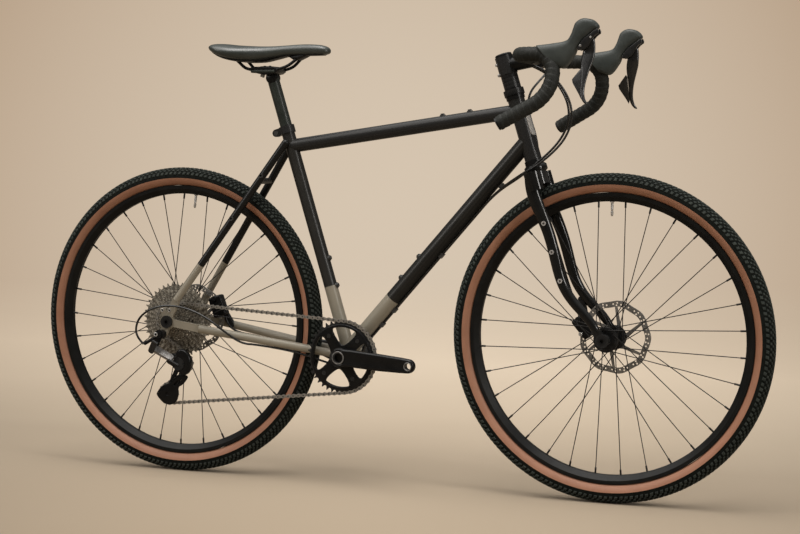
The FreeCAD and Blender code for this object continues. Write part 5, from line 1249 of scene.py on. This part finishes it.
def make_saddle():
    """A padded top with a shallow groove along its middle, tucked in below its widest line."""
    points = []
    for share in shares(saddle_rings - 1):
        x, half_width, top, bottom = saddle_row(share)
        middle = bottom + (top - bottom) * widest_share
        groove = groove_depth * math.sin(math.pi * min(max((share - groove_start) / groove_length, 0), 1))
        for angle in round_angles(saddle_around):
            rise = math.sin(angle)
            y = half_width * bulged(math.cos(angle), 0.72)
            if rise >= 0:
                z = middle + (top - middle) * rise ** 0.86 - groove * math.exp(-(y / groove_half) ** 2)
            else:
                z = middle + (bottom - middle) * abs(rise) ** 0.55
                y *= 1 - tuck_share * abs(rise)
            points.append((x, y, z))
    mesh = mesh_from("saddle_top", points, tube_faces(saddle_rings, saddle_around))
    turn_outward(mesh)
    piece = new_object("saddle_top", mesh, saddle_cover)
    soften = piece.modifiers.new("soften", "SUBSURF")
    soften.levels = 1
    soften.render_levels = 1
    fit(piece, "seat", "saddle_cover")


def make_saddle_base():
    """The stiff base under the cover, set in from its edge, and the socket for the rails."""
    rows = []
    for step in shares(40):
        x, half_width, _, edge = saddle_row(base_start + base_length * step)
        middle = Vector((x, 0, edge - base_drop + base_half_height))
        rows.append((middle, left * (half_width * base_width_share), up * base_half_height))
    fit(lofted("saddle_base", rows, 28, 0.7, plastic), "seat", "saddle_shell")
    rows = []
    for x, half_width, middle, half_height in rail_socket_rows:
        rows.append((Vector((x, 0, middle)) * mm, left * (half_width * mm), up * (half_height * mm)))
    fit(lofted("rail_socket", rows, 28, 0.7, plastic), "seat")


# Hoses: smooth lines through the solids' routes, in millimetres
front_hose_route = (
    (352.5, 66.5, 936.6), (344, 58, 922), (331, 45, 904), (318, 34, 884), (314, 28, 858), (321, 26.5, 826),
    (335, 27, 786), (338, 33, 752), (325, 44, 716), (323, 50, 690), (333, 52, 660), (355, 52, 606),
    (375, 52, 558), (388, 54, 516), (400, 55, 478), (412, 53, 446), (423, 50, 420), (432, 47.5, 396.7))
# The run inside the down tube and along the left stay; the shift housing's is its mirror
inner_run = (
    (251.4, 2.5, 663.2), (200.6, 2.5, 605.3), (-33.7, 2.5, 338.5), (-55.5, 2.5, 313.7), (-63.7, 5, 281.4),
    (-85.1, 9, 263.4), (-120, 19, 268), (-205, 37, 296))
rear_hose_route = (
    (353, -66, 934.5), (366, -64, 929), (391, -58, 914), (414, -50, 886), (428, -43, 852), (427, -38, 817),
    (412, -35, 784), (386, -34, 754), (352, -31, 727), (318, -22, 700), *inner_run, (-351.2, 61.3, 317.7),
    (-396, 63, 322), (-416, 57.5, 332), (-428, 55.6, 346), (-432, 55.6, 362.8))
shift_route = (
    (358, -74, 935.5), (371, -72, 931), (397, -67, 915), (421, -59, 887), (436, -51, 853), (436, -45, 816),
    (420, -42, 780), (392, -41, 750), (358, -38, 724), (322, -31, 706),
    *((x, -y, z) for x, y, z in inner_run), (-296.2, -52.2, 309.6), (-331, -67, 312), (-368, -81, 340),
    (-408, -87, 369), (-452, -91, 388), (-500, -92, 395), (-545, -92, 388), (-579, -91, 366),
    (-591, -90, 340), (-587, -89, 316), (-571, -88, 302))
hose_radius = 2.5 * mm


def make_hose(name, route, node, blended):
    data = bpy.data.curves.new(name, "CURVE")
    data.dimensions = "3D"
    data.resolution_u = 10
    data.bevel_depth = hose_radius
    data.bevel_resolution = 4
    data.use_fill_caps = True
    line = data.splines.new("NURBS")
    line.points.add(len(route) - 1)
    for point, place in zip(line.points, route):
        point.co = (*(Vector(place) * mm), 1)
    line.order_u = 3
    line.use_endpoint_u = True
    piece = new_object(name, mesh_of_curve(name, data), hose_plastic)
    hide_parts(node)
    if blended:
        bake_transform(piece)
    else:
        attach(piece, "steering")


# Floor, backdrop and light, in metres
floor_half = 500
# The floor's colours by depth carry painted shade, darker towards the camera; the backdrop's colours are a
# painted pool of light, lightest at its centre.
paper_colour_and_depth_shade = ((0.0, (0.376, 0.298, 0.214)), (0.5, (0.462, 0.379, 0.286)), (1.0, (0.814, 0.684, 0.531)))
paper_depth = (-1.5, 2.4)
light_pool_centre = (-0.3648, 0.9290, -0.0450)
paper_across = (0.9308, 0.3655, 0.0)
light_pool_shades = ((0.0, (0.672, 0.560, 0.436)), (1.0, (0.490, 0.370, 0.262)))
far_start = 5.2
far_full = 11.0
side_shade_rate = 4.3
side_shade_tilt = 0.16
most_side_shade = 0.26
reflection_shade_share = 0.6
paper_grain = 0.10
warm_white = (1.0, 0.965, 0.92)
ambient_strength = 0.26
ceiling_shades = (
    (0.0, (0.05, 0.045, 0.04)), (0.35, (0.09, 0.083, 0.075)), (0.75, (0.50, 0.50, 0.49)),
    (1.0, (0.85, 0.86, 0.86)))
sky_spot = (-0.9, -1.1, 3.2)
sky_strength = 2.1
sky_angle = math.radians(70)
# Name, place, target, size, power
lamps = (
    ("top_light", (0.1, -0.4, 3.4), (0.0, 0.0, 0.5), (1.6, 1.6), 34.0),
    ("left_light", (-3.4, -3.2, 2.2), (0.0, 0.0, 0.6), (1.2, 1.2), 24.0),
    ("right_light", (3.8, -1.6, 2.2), (0.4, 0.0, 0.6), (0.9, 0.9), 24.0),
    ("strip_light", (3.0, -0.9, 1.25), (0.4, 0.0, 0.75), (0.22, 1.9), 14.0))


def far_paper(look, heading):
    """The far paper's colour in a direction, with a painted pool of light: lightest towards its centre."""
    nearness = look.vector("DOT_PRODUCT", heading, light_pool_centre)
    return look.ramp(look.span(nearness, 0.9995, 0.970), light_pool_shades)


def floor_paper():
    """Paper with painted light: it lightens with depth and darkens to the sides as painted shade, is painted
    darker in reflections, and far off glows for camera rays with the backdrop's own colour.
    """
    item, look = start_material("floor_paper")
    path = look.node("LightPath", {}).outputs
    away = look.vector("SUBTRACT", look.place, camera_spot)
    heading = look.vector("NORMALIZE", away)
    aside = look.vector("DOT_PRODUCT", heading, paper_across)
    # Painted shade, darker to the sides.
    side_shade_amount = look.math("ADD", look.times(look.times(aside, aside), side_shade_rate), look.times(aside, side_shade_tilt))
    light_kept = look.math("SUBTRACT", 1, look.math("MINIMUM", side_shade_amount, most_side_shade))
    # Painted shade in reflections: glossy rays see the floor darker.
    reflection_dimming = look.math("SUBTRACT", 1, look.times(path["Is Glossy Ray"], reflection_shade_share))
    grain = look.times(look.math("SUBTRACT", look.noise(1.2, 2.0), 0.5), paper_grain)
    # The depth ramp is painted shade, darker towards the camera, with a random grain.
    depth = look.math("ADD", look.span(look.apart(look.place)["Y"], *paper_depth), grain)
    inputs = {0: look.ramp(depth, paper_colour_and_depth_shade), "Scale": look.times(light_kept, reflection_dimming)}
    shade = look.node("VectorMath", inputs, operation="SCALE").outputs["Vector"]
    look.dress({"Base Color": shade, "Roughness": 0.95, "Specular IOR Level": 0.1})
    # Painted light: far off, camera rays see the floor glow with the backdrop's colour.
    glow = look.node("Emission", {"Color": far_paper(look, heading)}).outputs["Emission"]
    far = look.times(look.span(look.vector("LENGTH", away), far_start, far_full), path["Is Camera Ray"])
    paper = look.tree.nodes["Principled BSDF"].outputs["BSDF"]
    look.feed(look.tree.nodes["Material Output"], {"Surface": look.mix_shaders(far, paper, glow)})
    return item


def make_floor():
    corners = [(x * floor_half, y * floor_half, 0) for x, y in ((-1, -1), (1, -1), (1, 1), (-1, 1))]
    floor = new_object("floor", mesh_from("floor", corners, [(0, 1, 2, 3)]), floor_paper())


def make_world():
    """A backdrop for the eye, painted with a pool of light lightest at its centre, an even warm light, and a
    bright ceiling in reflections.
    """
    world = bpy.data.worlds.new("studio")
    scene.world = world
    world.use_nodes = True
    world.node_tree.nodes.clear()
    look = Look(world.node_tree, "Generated")
    path = look.node("LightPath", {}).outputs
    height = look.apart(look.place)["Z"]
    # Painted light: the backdrop is lightest towards its centre.
    backdrop = look.background(far_paper(look, look.place))
    ambient = look.background(warm_white, ambient_strength)
    ceiling = look.background(look.ramp(height, ceiling_shades))
    unseen = look.mix_shaders(path["Is Glossy Ray"], ambient, ceiling)
    look.node("OutputWorld", {"Surface": look.mix_shaders(path["Is Camera Ray"], unseen, backdrop)})


def add_lamp(name, kind, spot, target, strength):
    data = bpy.data.lights.new(name, kind)
    data.energy = strength
    data.color = warm_white
    lamp = bpy.data.objects.new(name, data)
    scene.collection.objects.link(lamp)
    lamp.location = spot
    lamp.rotation_euler = (Vector(target) - Vector(spot)).to_track_quat("-Z", "Y").to_euler()
    return data


def make_lamps():
    sky = add_lamp("sky_light", "SUN", sky_spot, (0, 0, 0), sky_strength)
    sky.angle = sky_angle
    for name, spot, target, size, power in lamps:
        data = add_lamp(name, "AREA", spot, target, power)
        data.shape = "RECTANGLE"
        data.size, data.size_y = size


make_camera()
dress_nodes()
make_tyre("front", front_axle)
make_tyre("rear", rear_axle)
make_valve("front", front_axle, 90)
make_valve("rear", rear_axle, 83.5)
for word, side in sides:
    make_tape(word, side)
make_tape_ends()
make_hoods()
make_levers()
make_saddle()
make_saddle_base()
make_chain()
make_crank("right", -1, crank_angle)
make_crank("left", 1, crank_angle + 180)
make_ring_plate()
make_rotor("front", front_axle, front_rotor_steel)
make_rotor("rear", rear_axle, rear_rotor_steel)
make_derailleur_covers()
make_post_head()
make_small_metal()
make_hose("front_hose", front_hose_route, "front_brake_hose", False)
make_hose("rear_hose", rear_hose_route, "rear_brake_hose", True)
make_hose("shift_line", shift_route, "shift_housing", True)
make_floor()
make_world()
make_lamps()
scene.view_settings.view_transform = "Standard"
